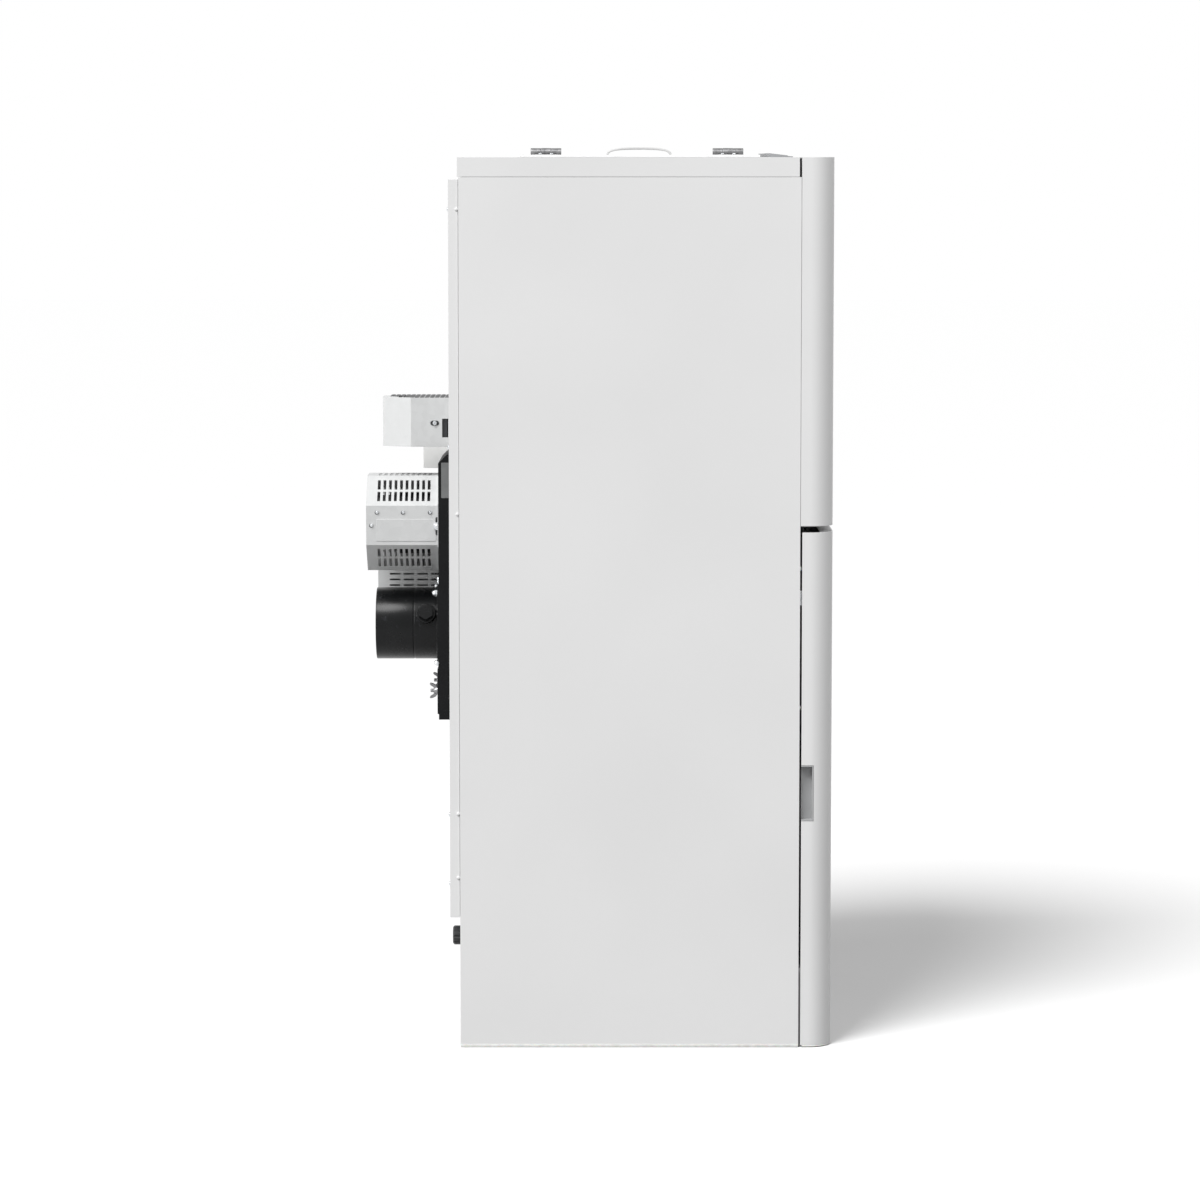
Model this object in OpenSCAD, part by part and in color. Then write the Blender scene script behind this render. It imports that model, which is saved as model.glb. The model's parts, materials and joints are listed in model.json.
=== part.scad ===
// Pellet boiler: a floor-standing casing with a hopper above a water-jacketed firebox
// X runs across, with the finger pull on the low side; the door faces -Y; Z is up from the floor
$fn = 48;

/* [Casing] */
// Height of the casing above the floor
case_h = 1200; // [1100:5:1300]
// Width over the side panels
case_w = 560; // [540:5:620]
// Depth from the face of the door to the back of the rear panel
case_d = 515; // [500:5:580]
// Reach of the fan guard behind the rear panel
rear_reach = 121.4; // [110:0.2:140]
// Thickness of the casing sheet
sheet_t = 1.5; // [1:0.1:2]
// Height of the panels' lower edges above the floor
floor_gap = 3; // [2:0.5:6]
// Depth of the top cover's skirt
skirt_h = 26; // [20:1:34]
// Clearance between casing parts that are hung or screwed together
seam = 0.4; // [0.3:0.1:0.6]
// Distance the rear panel stands behind the side panels
rear_step = 13.5; // [10:0.5:18]
// Height of the rear panel's lower edge
rear_low_z = 178; // [160:1:200]

/* [Front] */
// Height of the lower door
door_h = 696.6; // [660:0.2:730]
// Gap between the door and the upper front panel
door_gap = 8.4; // [7:0.2:12]
// Gap between the door's edge and the side panel
door_side_gap = 2.7; // [2:0.1:4]
// Radius of the front corners
corner_r = 30; // [24:1:36]
// Flat part of the upper panel's side, in front of the side panel
side_flat = 14.7; // [12:0.1:20]
// Depth of the door's liner behind its face
door_core_d = 16; // [12:1:20]
// Height of the finger pull
pull_h = 76; // [60:1:90]
// Depth of the finger pull from the door's edge
pull_d = 16.7; // [12:0.1:18]
// Width of the finger pull's cup into the door
pull_cup_w = 14; // [10:1:18]
// Height of the finger pull's lower edge
pull_z = 309; // [280:1:330]
// Radius of the door's hinge pins
hinge_pin_r = 4; // [3:0.5:5]
// Thickness of the hinge brackets
bracket_t = 3; // [2:0.5:4]

/* [Hopper and lid] */
// Width of the lid
lid_w = 360; // [320:5:390]
// Length of the lid from front to back
lid_d = 327; // [300:1:340]
// Place of the lid's middle, from front to back
lid_y = -58.5; // [-70:0.5:-50]
// Thickness of the lid's edge
lid_t = 3.2; // [2.5:0.1:4]
// Wall of the hopper bin
bin_t = 1.5; // [1:0.1:2.5]
// Length of the lid's bow handle
bow_l = 89; // [80:1:100]
// Height of the bow above the lid
bow_h = 10.3; // [9:0.1:14]
// Length of a hinge barrel
barrel_l = 44; // [36:1:50]
// Radius of a hinge barrel
barrel_r = 6.5; // [5.5:0.5:7]
// Distance between the middles of the two barrels
barrel_pitch = 262; // [240:1:270]

/* [Smoke side] */
// Radius of the flue spigot
flue_r = 50; // [40:1:60]
// Wall of the flue spigot
flue_t = 2; // [1.5:0.1:3]
// Height of the flue's axis
flue_z = 550; // [530:1:560]
// Reach of the spigot behind the rear panel
flue_reach = 110; // [95:1:118]
// Place of the smoke box across the casing
smoke_x = -30; // [-40:1:-20]
// Width of the smoke box
smoke_w = 160; // [150:1:170]
// Height of the smoke box's lower edge
smoke_z = 424; // [415:1:430]
// Height of the smoke box
smoke_h = 368; // [360:1:375]
// Distance the smoke box stands behind the rear panel
smoke_out = 21; // [18:0.5:26]
// Height of the fan's axis
fan_z = 693; // [685:1:700]
// Width across the flats of the fan guard
guard_af = 132; // [128:1:140]
// Radius of the fan impeller
fan_r = 58; // [50:1:62]
// Number of the fan's blades
fan_blades = 12; // [8:1:16]

/* [Feed] */
// Place of the auger across the casing
auger_x = 115; // [110:1:120]
// Height of the auger's axis
auger_z = 666; // [660:1:672]
// Outer radius of the auger tube
auger_tube_r = 29; // [27:0.5:31]
// Wall of the auger tube
auger_tube_t = 2; // [1.5:0.1:3]
// Radius of the auger flight
auger_r = 25; // [22:0.5:26]
// Pitch of the auger flight
auger_pitch = 44; // [36:1:50]
// Radius of the auger shaft
auger_shaft_r = 8; // [6:0.5:9]

/* [Boiler body] */
// Width of the boiler body
body_w = 410; // [390:5:420]
// Height of the boiler body's top
body_top_z = 620; // [615:1:625]
// Wall of the boiler body's water jacket
jacket_t = 55; // [50:1:60]
// Width of the firebox
firebox_w = 300; // [280:5:300]
// Height of the firebox floor
firebox_z = 225; // [220:1:235]
// Height of the firebox
firebox_h = 320; // [300:5:330]
// Radius of the smoke tubes
tube_r = 19; // [16:0.5:22]
// Number of the smoke tubes
tube_n = 5; // [3:1:5]
// Distance between the smoke tubes
tube_pitch = 58; // [52:1:60]

/* [Hidden] */
// Lists of the named pieces

// Driving places, worked out from the sizes above
over = 2;
front_y = -(case_d + rear_reach) / 2;
rear_y = front_y + case_d;
guard_y = rear_y + rear_reach;
half_w = case_w / 2;
in_x = half_w - sheet_t;
side_front_y = front_y + corner_r + side_flat;
side_rear_y = rear_y - rear_step;
cover_z = case_h - skirt_h;
door_top_z = floor_gap + door_h;
upper_z = door_top_z + door_gap;
door_edge_y = side_front_y - door_side_gap;

// Frame: a tray on the feet, four posts and a ring under the hopper
frame_setback = 56;
tray_z = 22;
tray_h = 30;
tray_t = 3;
post_w = 24;
post_t = 2.5;
ring_h = 24;
frame_front_y = front_y + frame_setback;
frame_rear_y = side_rear_y - sheet_t - seam;
frame_x = in_x - seam;
frame_top_z = cover_z - seam;
tray_top_z = tray_z + tray_t;
foot_inset = 34;
foot_r = 24;
foot_h = 10;
foot_stud_r = 6;
foot_nut_r = 11;
foot_nut_h = 6;

// Boiler body
body_front_gap = 5.4;
rear_room = 50;
tube_wall_d = 88;
tube_in = 36;
ash_floor_h = 32;
firebox_floor_t = 22;
body_front_y = frame_front_y + post_t + body_front_gap;
body_rear_y = rear_y - rear_room;
firebox_rear_y = body_rear_y - tube_wall_d;
firebox_top_z = firebox_z + firebox_h;
tube_y = body_rear_y - tube_in;
tube_low_z = 95;
header_h = 54;
header_z = body_top_z - header_h;
slot_w = 56;
ash_z = tray_top_z + ash_floor_h;
ash_top_z = firebox_z - firebox_floor_t;

// Bin, auger and burner
hopper_wall_in = 14;
bin_below = 4;
trough_rise = 5;
bin_w = lid_w - 2 * hopper_wall_in;
bin_d = lid_d - 2 * hopper_wall_in;
bin_top_z = case_h - bin_below;
trough_z = auger_z + auger_tube_r + trough_rise;
trough_w = 64;
burner_x = 40;
burner_y = -120;

// Swing of the door and of the lid
door_pivot_in = 9.5;
door_pivot_back = 22;
door_pivot_x = half_w - door_pivot_in;
door_pivot_y = front_y + door_pivot_back;
lid_gap = 0.3;
lid_pivot_out = 5;
barrel_lift = 0.5;
lid_z = case_h + lid_gap;
lid_pivot_x = lid_w / 2 + lid_pivot_out;
lid_pivot_z = case_h + barrel_r + barrel_lift;
fit = 0.05;

module block(x0, x1, y0, y1, z0, z1) {
  translate([x0, y0, z0]) cube([x1 - x0, y1 - y0, z1 - z0]);
}

module rod_y(r, y0, y1) {
  translate([0, y0, 0]) rotate([-90, 0, 0]) cylinder(r = r, h = y1 - y0);
}

module rod_x(r, x0, x1) {
  translate([x0, 0, 0]) rotate([0, 90, 0]) cylinder(r = r, h = x1 - x0);
}

module rod_z(r, z0, z1) {
  translate([0, 0, z0]) cylinder(r = r, h = z1 - z0);
}

// Six-sided head, axis along Y, r across the corners
module hex_y(r, y0, y1) {
  translate([0, y0, 0]) rotate([-90, 0, 0]) cylinder(r = r, h = y1 - y0, $fn = 6);
}

// Casing
panel_flange = 12;
foot_x = frame_x - foot_inset;
foot_front_y = frame_front_y + foot_inset;
foot_back_y = body_rear_y - foot_inset;

module at_feet() {
  for (x = [-foot_x, foot_x]) {
    for (y = [foot_front_y, foot_back_y]) {
      translate([x, y, 0]) children();
    }
  }
}

module post(x, y, turn) {
  translate([x, y, tray_z]) rotate([0, 0, turn]) {
    cube([post_w, post_t, frame_top_z - tray_z]);
    cube([post_t, post_w, frame_top_z - tray_z]);
  }
}

module base_frame() {
  color("#3a3d40") difference() {
    union() {
      difference() {
        block(-frame_x, frame_x, frame_front_y, frame_rear_y, tray_z, tray_z + tray_h);
        block(-frame_x + post_t, frame_x - post_t, frame_front_y + post_t,
              frame_rear_y - post_t, tray_top_z, tray_z + tray_h + over);
        block(-frame_x + post_w, frame_x - post_w, body_rear_y + seam, frame_rear_y + over,
              tray_z - over, tray_z + tray_h + over);
      }
      post(-frame_x, frame_front_y, 0);
      post(frame_x, frame_front_y, 90);
      post(-frame_x, frame_rear_y, -90);
      post(frame_x, frame_rear_y, 180);
      difference() {
        block(-frame_x, frame_x, frame_front_y, frame_rear_y, frame_top_z - ring_h, frame_top_z);
        block(-frame_x + post_t, frame_x - post_t, frame_front_y + post_t,
              frame_rear_y - post_t, frame_top_z - ring_h - over, frame_top_z - post_t);
        block(-bin_w / 2 - seam, bin_w / 2 + seam, lid_y - bin_d / 2 - seam,
              lid_y + bin_d / 2 + seam, frame_top_z - ring_h, frame_top_z + over);
      }
    }
    at_feet() rod_z(foot_stud_r + fit, 0, tray_z + tray_h);
  }
}

module levelling_feet() {
  color("#2b2b2b") at_feet() {
    rod_z(foot_r, 0, foot_h * 0.6);
    translate([0, 0, foot_h * 0.6]) cylinder(r1 = foot_r, r2 = foot_r * 0.6, h = foot_h * 0.4);
    rod_z(foot_stud_r, foot_h, tray_top_z + 2 * foot_nut_h);
    translate([0, 0, tray_z - foot_nut_h]) cylinder(r = foot_nut_r, h = foot_nut_h, $fn = 6);
    translate([0, 0, tray_top_z]) cylinder(r = foot_nut_r, h = foot_nut_h, $fn = 6);
  }
}

// Flat side with its front and rear edges folded in
module side_panel() {
  z0 = floor_gap;
  z1 = cover_z - seam;
  block(in_x, half_w, side_front_y, side_rear_y, z0, z1);
  block(half_w - panel_flange, half_w, side_front_y, side_front_y + sheet_t, z0, z1);
  block(half_w - panel_flange, half_w, side_rear_y - sheet_t, side_rear_y, z0, z1);
}

module side_panel_left() {
  color("#dcdcda") mirror([1, 0, 0]) side_panel();
}

module side_panel_right() {
  color("#dcdcda") side_panel();
}

cover_front_y = side_front_y + door_side_gap;
cover_rear_y = side_rear_y + sheet_t;

module top_cover() {
  color("#e4e4e2") difference() {
    block(-half_w, half_w, cover_front_y, cover_rear_y, cover_z, case_h);
    block(-in_x, in_x, cover_front_y + sheet_t, cover_rear_y - sheet_t,
          cover_z - over, case_h - sheet_t);
    block(-bin_w / 2 - seam, bin_w / 2 + seam, lid_y - bin_d / 2 - seam,
          lid_y + bin_d / 2 + seam, cover_z, case_h + over);
  }
}

// Outline of a front in plan: straight sides, round corners, a flat face
module front_outline(inset, back_y) {
  r = corner_r - inset;
  x = half_w - corner_r;
  y = front_y + corner_r;
  intersection() {
    union() {
      translate([-x, y]) circle(r = r);
      translate([x, y]) circle(r = r);
      translate([-x, front_y + inset]) square([2 * x, corner_r]);
      translate([-half_w + inset, y]) square([2 * (half_w - inset), max(back_y - y, over)]);
    }
    translate([-half_w, front_y]) square([case_w, back_y - front_y]);
  }
}

module front_shell(back_y, z0, z1) {
  translate([0, 0, z0]) linear_extrude(z1 - z0) difference() {
    front_outline(0, back_y);
    front_outline(sheet_t, back_y + over);
  }
}

module front_plate(back_y, z0) {
  translate([0, 0, z0]) linear_extrude(sheet_t) front_outline(0, back_y);
}

upper_lip_d = 36;

module upper_front_panel() {
  color("#d6d6d3") {
    front_shell(side_front_y - seam, upper_z, case_h);
    front_plate(side_front_y - seam, case_h - sheet_t);
    front_plate(front_y + upper_lip_d, upper_z);
    for (s = [-1, 1]) {
      translate([s * (half_w - panel_flange / 2), side_front_y - seam - sheet_t / 2,
                 (upper_z + case_h) / 2])
        cube([panel_flange, sheet_t, case_h - upper_z], center = true);
    }
  }
}

// Rear panel with openings for what passes through it
rear_side_gap = 1;
rear_w = case_w - 2 * rear_side_gap;
smoke_half = smoke_w / 2;
smoke_clear = 3;
gear_half = 45;
gear_x0 = auger_x - gear_half;
gear_x1 = auger_x + gear_half;
clean_shift = 3;
clean_x = smoke_x + clean_shift;
clean_z = 833;
clean_hole_r = 14;
air_shift = 5;
air_x = auger_x + air_shift;
air_z = 470;
air_r = 30;
inlet_in = 74;
inlet_x = rear_w / 2 - inlet_in;
inlet_z = 470;
inlet_w = 28;
inlet_h = 48;
rear_top_drop = 3;
rear_top_z = frame_top_z - rear_top_drop;
tube_clear = 1;
fold_w = 20;
fold_d = 4;

module rear_panel() {
  x = rear_w / 2;
  color("#d0d0cf") difference() {
    union() {
      difference() {
        block(-x, x, side_rear_y + seam, rear_y, rear_low_z, rear_top_z);
        block(-x + sheet_t, x - sheet_t, side_rear_y + seam - over, rear_y - sheet_t,
              rear_low_z + sheet_t, rear_top_z - sheet_t);
        for (s = [-1, 1]) {
          translate([s * (x - fold_w), rear_y, 0])
            block(-fold_d, fold_d, -fold_d * 0.3, over, rear_low_z - over, rear_top_z + over);
        }
      }
      for (s = [-1, 1]) {
        translate([s * (x - fold_w), rear_y, 0])
          block(-fold_d - sheet_t, fold_d + sheet_t, -fold_d * 0.3 - sheet_t, -fold_d * 0.3,
                rear_low_z, rear_top_z);
      }
    }
    block(smoke_x - smoke_half - smoke_clear, smoke_x + smoke_half + smoke_clear,
          side_rear_y - over, rear_y + over, smoke_z - smoke_clear, smoke_z + smoke_h + smoke_clear);
    translate([auger_x, 0, auger_z]) rod_y(auger_tube_r + tube_clear, side_rear_y - over, rear_y + over);
    translate([clean_x, 0, clean_z]) rod_y(clean_hole_r, side_rear_y - over, rear_y + over);
    translate([air_x, 0, air_z]) rod_y(air_r + seam, side_rear_y - over, rear_y + over);
    block(inlet_x - inlet_w / 2 - seam, inlet_x + inlet_w / 2 + seam, side_rear_y - over,
          rear_y + over, inlet_z - inlet_h / 2 - seam, inlet_z + inlet_h / 2 + seam);
  }
}

// Recessed plate below the rear panel, drilled for the sockets
socket_r = 17;
socket_bore_r = 12.05;
flow_in = 38.1;
flow_x = frame_x - flow_in;
flow_z = 92;
return_x = 120;
drain_in = 78.1;
drain_x = frame_x - drain_in;
drain_z = 139;
drain_body_r = 9;
lower_plate_y = body_rear_y + seam;

module lower_rear_plate() {
  color("#b9bbbc") difference() {
    union() {
      block(-frame_x + post_w + seam, frame_x - post_w - seam, lower_plate_y,
            lower_plate_y + sheet_t, tray_z, rear_low_z - seam);
      block(-frame_x + post_w + seam, frame_x - post_w - seam, lower_plate_y,
            side_rear_y - seam, rear_low_z - seam - sheet_t, rear_low_z - seam);
    }
    for (x = [-flow_x, return_x]) {
      translate([x, 0, flow_z]) rod_y(socket_r + seam, lower_plate_y - over, lower_plate_y + 2 * over);
    }
    translate([-drain_x, 0, drain_z]) rod_y(drain_body_r + seam, lower_plate_y - over,
                                            lower_plate_y + 2 * over);
  }
}

// Inner front plate, open at the firebox door and at the ash drawer
plate_t = 2;
plate_y = frame_front_y - plate_t;
door_lap = 20;
door_lap_low = 12;
door_lap_top = 18;
fire_door_x0 = -firebox_w / 2 - door_lap;
fire_door_x1 = firebox_w / 2 + door_lap;
fire_door_z0 = firebox_z - door_lap_low;
fire_door_z1 = firebox_top_z + door_lap_top;
door_clear = 8;
hinge_clear = 34;
drawer_in = 8;
drawer_half = firebox_w / 2 - drawer_in;
drawer_top_gap = 3;

module inner_front_plate() {
  color("#4a4c4e") difference() {
    block(-frame_x + seam, frame_x - seam, plate_y, frame_front_y, tray_z + seam,
          upper_z + upper_lip_d / 2);
    block(fire_door_x0 - door_clear, fire_door_x1 + hinge_clear, plate_y - over,
          frame_front_y + over, fire_door_z0 - door_clear, fire_door_z1 + door_clear);
    block(-drawer_half - seam, drawer_half + seam, plate_y - over, frame_front_y + over,
          ash_z, ash_top_z - drawer_top_gap);
  }
}

// Pan-head screws with a cross recess
screw_r = 3.2;
screw_h = 2;
screw_z_shares = [0.045, 0.14, 0.64, 0.96];
screw_x = rear_w / 2 - fold_w / 2 + screw_r / 2;

module pan_screw(r, h) {
  difference() {
    union() {
      cylinder(r = r, h = h * 0.5);
      translate([0, 0, h * 0.5]) cylinder(r1 = r, r2 = r * 0.6, h = h * 0.5);
    }
    for (a = [0, 90]) {
      rotate([0, 0, a]) translate([0, 0, h]) cube([r * 1.2, r * 0.3, h * 0.8], center = true);
    }
  }
}

module casing_screws() {
  color("#c8c8c8") {
    for (s = [-1, 1]) {
      for (t = screw_z_shares) {
        translate([s * screw_x, rear_y, rear_low_z + t * (rear_top_z - rear_low_z)])
          rotate([-90, 0, 0]) pan_screw(screw_r, screw_h);
      }
    }
  }
}

// Lower door: skin, core, pull and hinges
door_pin_l = 14;
bush_r = 7;
low_recess = 9;
bracket_gap = 3;
door_low_z = floor_gap + low_recess;
bracket_low_z = floor_gap + bracket_gap;
bracket_top_z = door_top_z + bracket_gap;
bracket_w = 34;
notch_r = 34;
end_lip_d = 18;
core_back_y = front_y + sheet_t + door_core_d;

module at_door_pivot() {
  translate([door_pivot_x, door_pivot_y, 0]) children();
}

module door_cavity(z0, z1) {
  translate([0, 0, z0]) linear_extrude(z1 - z0) front_outline(sheet_t, door_edge_y + over);
}

// Bent sheet with folded ends: a narrow lip, and full depth at the hinge
module door_skin() {
  color("#d6d6d3") difference() {
    union() {
      difference() {
        translate([0, 0, floor_gap]) linear_extrude(door_h) front_outline(0, door_edge_y);
        door_cavity(floor_gap - over, door_low_z);
        door_cavity(door_low_z + sheet_t, door_top_z - sheet_t);
        intersection() {
          door_cavity(floor_gap - over, door_top_z + over);
          block(-in_x, door_pivot_x - notch_r, front_y + end_lip_d, door_edge_y + over,
                floor_gap - over, door_top_z + over);
        }
      }
      at_door_pivot() {
        rod_z(bush_r, door_low_z, door_low_z + door_pin_l);
        rod_z(bush_r, door_top_z - door_pin_l, door_top_z);
      }
    }
    at_door_pivot() {
      rod_z(hinge_pin_r + fit, 0, door_top_z + over);
      rod_z(notch_r, 0, door_low_z);
    }
    block(-half_w - over, -half_w + sheet_t + over, door_edge_y - pull_d, door_edge_y + over,
          pull_z, pull_z + pull_h);
  }
}

// Insulated core with a raised middle field
core_gap = 0.6;
field_inset = 40;
field_h = 2;

module door_liner() {
  x0 = -half_w + corner_r;
  x1 = door_pivot_x - notch_r;
  z0 = door_low_z + sheet_t + core_gap;
  z1 = door_top_z - sheet_t - core_gap;
  color("#8d9092") {
    block(x0, x1, front_y + sheet_t + seam / 2, core_back_y - field_h, z0, z1);
    block(x0 + field_inset, x1 - field_inset, core_back_y - field_h, core_back_y,
          z0 + field_inset, z1 - field_inset);
  }
}

pull_t = 1.5;

module finger_pull() {
  z0 = pull_z + seam;
  z1 = pull_z + pull_h - seam;
  y0 = door_edge_y - pull_d + seam;
  x0 = -half_w + 0.5 * seam;
  x1 = -half_w + pull_cup_w;
  color("#a4a5a5") difference() {
    union() {
      block(x0, x1, y0, door_edge_y, z0, z1);
      block(-in_x + 3 * seam, -in_x + 3 * seam + pull_t, y0 - 2 * pull_t, y0 + pull_t,
            z0 - 2 * pull_t, z1 + 2 * pull_t);
    }
    block(x0 - over, x1 - pull_t, y0 + pull_t, door_edge_y + over, z0 + pull_t, z1 - pull_t);
  }
}

buffer_r = 4;
buffer_z_shares = [0.66, 0.93];

module door_buffers() {
  for (t = buffer_z_shares) {
    translate([-half_w + buffer_r + sheet_t, 0, floor_gap + t * door_h])
      rod_y(buffer_r, door_edge_y + seam, side_front_y);
  }
}

module hinge_bracket(z0) {
  translate([0, 0, z0]) linear_extrude(bracket_t) {
    translate([door_pivot_x, door_pivot_y]) circle(r = bush_r);
    translate([door_pivot_x - bracket_w, door_pivot_y - bush_r]) square([bracket_w, 2 * bush_r]);
    translate([door_pivot_x - bracket_w, door_pivot_y]) square([bracket_w * 0.7, plate_y - door_pivot_y]);
  }
}

catch_w = 40;
catch_h = 20;
catch_z = 600;
catch_in = 12;

// Magnetic catch that holds the door shut, opposite its hinges
module door_catch() {
  x = -frame_x + catch_in;
  block(x, x + catch_w, core_back_y + 2 * seam, plate_y, catch_z, catch_z + catch_h);
}

module door_hinge_brackets() {
  x0 = door_pivot_x - bracket_w;
  x1 = x0 + bracket_w * 0.7;
  color("#77797b") {
    hinge_bracket(bracket_low_z);
    hinge_bracket(bracket_top_z);
    block(x0, x1, plate_y - bracket_t, plate_y, bracket_low_z, bracket_low_z + 2 * tray_h);
    block(x0, x1, plate_y - bracket_t, plate_y, bracket_top_z - tray_h, bracket_top_z + bracket_t);
    door_catch();
    at_door_pivot() {
      rod_z(hinge_pin_r, bracket_low_z, door_low_z + door_pin_l);
      rod_z(hinge_pin_r, door_top_z - door_pin_l, bracket_top_z + bracket_t);
    }
  }
}

// Lid of the hopper
barrel_low = lid_y - barrel_pitch / 2;
barrel_high = lid_y + barrel_pitch / 2;
knuckle_share = 0.34;
lid_pin_r = 2.5;
knuckle_gap = 0.3;
dish_x = -110;
dish_r = 30;
dish_d = 10;
dish_t = 1.2;
bow_w = 14;
bow_t = 3;
bow_foot = 11;
leaf_w = 22;
leaf_t = 2;

module at_lid_hinges() {
  for (y = [barrel_low, barrel_high]) translate([lid_pivot_x, y, lid_pivot_z]) children();
}

module hopper_lid() {
  knuckle = barrel_l * knuckle_share / 2 - knuckle_gap;
  color("#d9d9d7") difference() {
    union() {
      block(-lid_w / 2, lid_w / 2, lid_y - lid_d / 2, lid_y + lid_d / 2, lid_z, lid_z + lid_t);
      translate([dish_x, lid_y, 0]) rod_z(dish_r + dish_t, lid_z - dish_d, lid_z + lid_t);
      at_lid_hinges() {
        rod_y(barrel_r, -knuckle, knuckle);
        block(-barrel_r - lid_t, 0, -knuckle, knuckle, lid_z - lid_pivot_z, lid_z + lid_t - lid_pivot_z);
      }
    }
    translate([dish_x, lid_y, 0]) rod_z(dish_r, lid_z - dish_d + dish_t, lid_z + lid_t + over);
    at_lid_hinges() {
      rod_y(lid_pin_r + fit, -barrel_l, barrel_l);
      for (s = [-1, 1]) {
        translate([0, s * (knuckle + knuckle_gap + barrel_l / 4), 0])
          block(-barrel_r - 2 * knuckle_gap, barrel_r, -barrel_l / 4, barrel_l / 4, -barrel_r, barrel_r);
      }
    }
  }
}

module lid_handle() {
  top = bow_h;
  half = bow_l / 2;
  color("#3c3e40") translate([dish_x - bow_w / 2, lid_y, lid_z + lid_t]) rotate([90, 0, 90])
    linear_extrude(bow_w) polygon([
      [-half, 0], [-half + bow_foot, 0], [-half + 1.4 * bow_foot, top - bow_t],
      [half - 1.4 * bow_foot, top - bow_t], [half - bow_foot, 0], [half, 0],
      [half, bow_t], [half - bow_foot + bow_t, bow_t], [half - 1.2 * bow_foot, top],
      [-half + 1.2 * bow_foot, top], [-half + bow_foot - bow_t, bow_t], [-half, bow_t]
    ]);
}

module lid_hinge_bases() {
  knuckle = barrel_l * knuckle_share / 2;
  color("#3c3e40") at_lid_hinges() {
    for (s = [-1, 1]) {
      mirror([0, s < 0 ? 1 : 0, 0]) {
        rod_y(barrel_r, knuckle, barrel_l / 2);
        block(0, leaf_w, knuckle, barrel_l / 2, case_h - lid_pivot_z,
              case_h - lid_pivot_z + leaf_t);
      }
    }
    rod_y(lid_pin_r, -barrel_l / 2, barrel_l / 2);
    block(barrel_r + 1, leaf_w, -barrel_l / 2, barrel_l / 2, case_h - lid_pivot_z,
          case_h - lid_pivot_z + leaf_t);
  }
}

// Boiler body: a water jacket round the firebox, the ash bay and the smoke tubes
throat_h = 36;
smoke_window_w = 100;
chute_w = 56;
chute_x0 = 62;
grate_w = 118;
grate_d = 100;
chute_clear = 2;
holder_lip = 8;

module each_tube() {
  for (i = [0:tube_n - 1]) {
    translate([(i - (tube_n - 1) / 2) * tube_pitch, tube_y, 0]) children();
  }
}

module boiler_body() {
  half_f = firebox_w / 2;
  slot_x = (tube_n - 1) / 2 * tube_pitch + slot_w / 2;
  color("#5b5f63") difference() {
    block(-body_w / 2, body_w / 2, body_front_y, body_rear_y, tray_top_z, body_top_z);
    block(-half_f, half_f, body_front_y - over, firebox_rear_y, firebox_z, firebox_top_z);
    block(-half_f, half_f, body_front_y - over, firebox_rear_y, ash_z, ash_top_z);
    block(burner_x - grate_w / 2 + holder_lip, burner_x + grate_w / 2 - holder_lip,
          burner_y - grate_d / 2 + holder_lip, burner_y + grate_d / 2 - holder_lip,
          ash_top_z - over, firebox_z + over);
    block(-slot_x, slot_x, firebox_rear_y - over, tube_y + slot_w / 2, tube_low_z - throat_h, tube_low_z);
    each_tube() rod_z(tube_r, tube_low_z - over, body_top_z - header_h + over);
    block(-slot_x, slot_x, tube_y - slot_w / 2, tube_y + slot_w / 2, header_z, body_top_z + over);
    block(smoke_x - smoke_window_w / 2, smoke_x + smoke_window_w / 2, tube_y, body_rear_y + over,
          header_z, body_top_z - jacket_t * 0.2);
    block(chute_x0, auger_x + chute_w / 2 + chute_clear,
          burner_y - chute_w / 2 - seam, burner_y + chute_w / 2 + seam,
          firebox_top_z - over, body_top_z + over);
  }
}

cover_plate_t = 6;
rack_rod_r = 4;
rack_t = 6;
rack_w = 22;
rack_rod_y = tube_y;
lever_l = 40;
slot_l = 6;
rack_rod_x = clean_x - lever_l;

module tube_cover() {
  slot_x = (tube_n - 1) / 2 * tube_pitch + slot_w / 2;
  lap = 14;
  color("#6a6d70") difference() {
    union() {
      block(-slot_x - lap, slot_x + lap, tube_y - slot_w / 2 - lap, tube_y + slot_w / 2 + lap / 2,
            body_top_z, body_top_z + cover_plate_t);
      translate([rack_rod_x, rack_rod_y, 0])
        rod_z(rack_rod_r * 2.2, body_top_z, body_top_z + 3 * cover_plate_t);
      for (s = [-1, 1]) {
        for (t = [0, 1]) {
          translate([s * t * (slot_x + lap / 2), tube_y - slot_w / 2 - lap / 2, body_top_z + cover_plate_t])
            cylinder(r = lap / 3, h = cover_plate_t / 2, $fn = 6);
        }
      }
    }
    translate([rack_rod_x, rack_rod_y, 0])
      rod_z(rack_rod_r + fit, body_top_z - over, body_top_z + 4 * cover_plate_t);
  }
}

baffle_n = 7;
baffle_clear = 2.5;
rack_gap = 2;
rack_z = header_z + rack_gap;
fork_z = clean_z;
pin_r = 3;
fork_w = 16;
shaft_r = 7;
arm_t = 6;
arm_gap = 1;
arm_y = rack_rod_y + rack_rod_r + arm_t / 2 + arm_gap;
shaft_out = 34;
weight_r = 17;
weight_t = 22;
weight_arm = 46;

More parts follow.
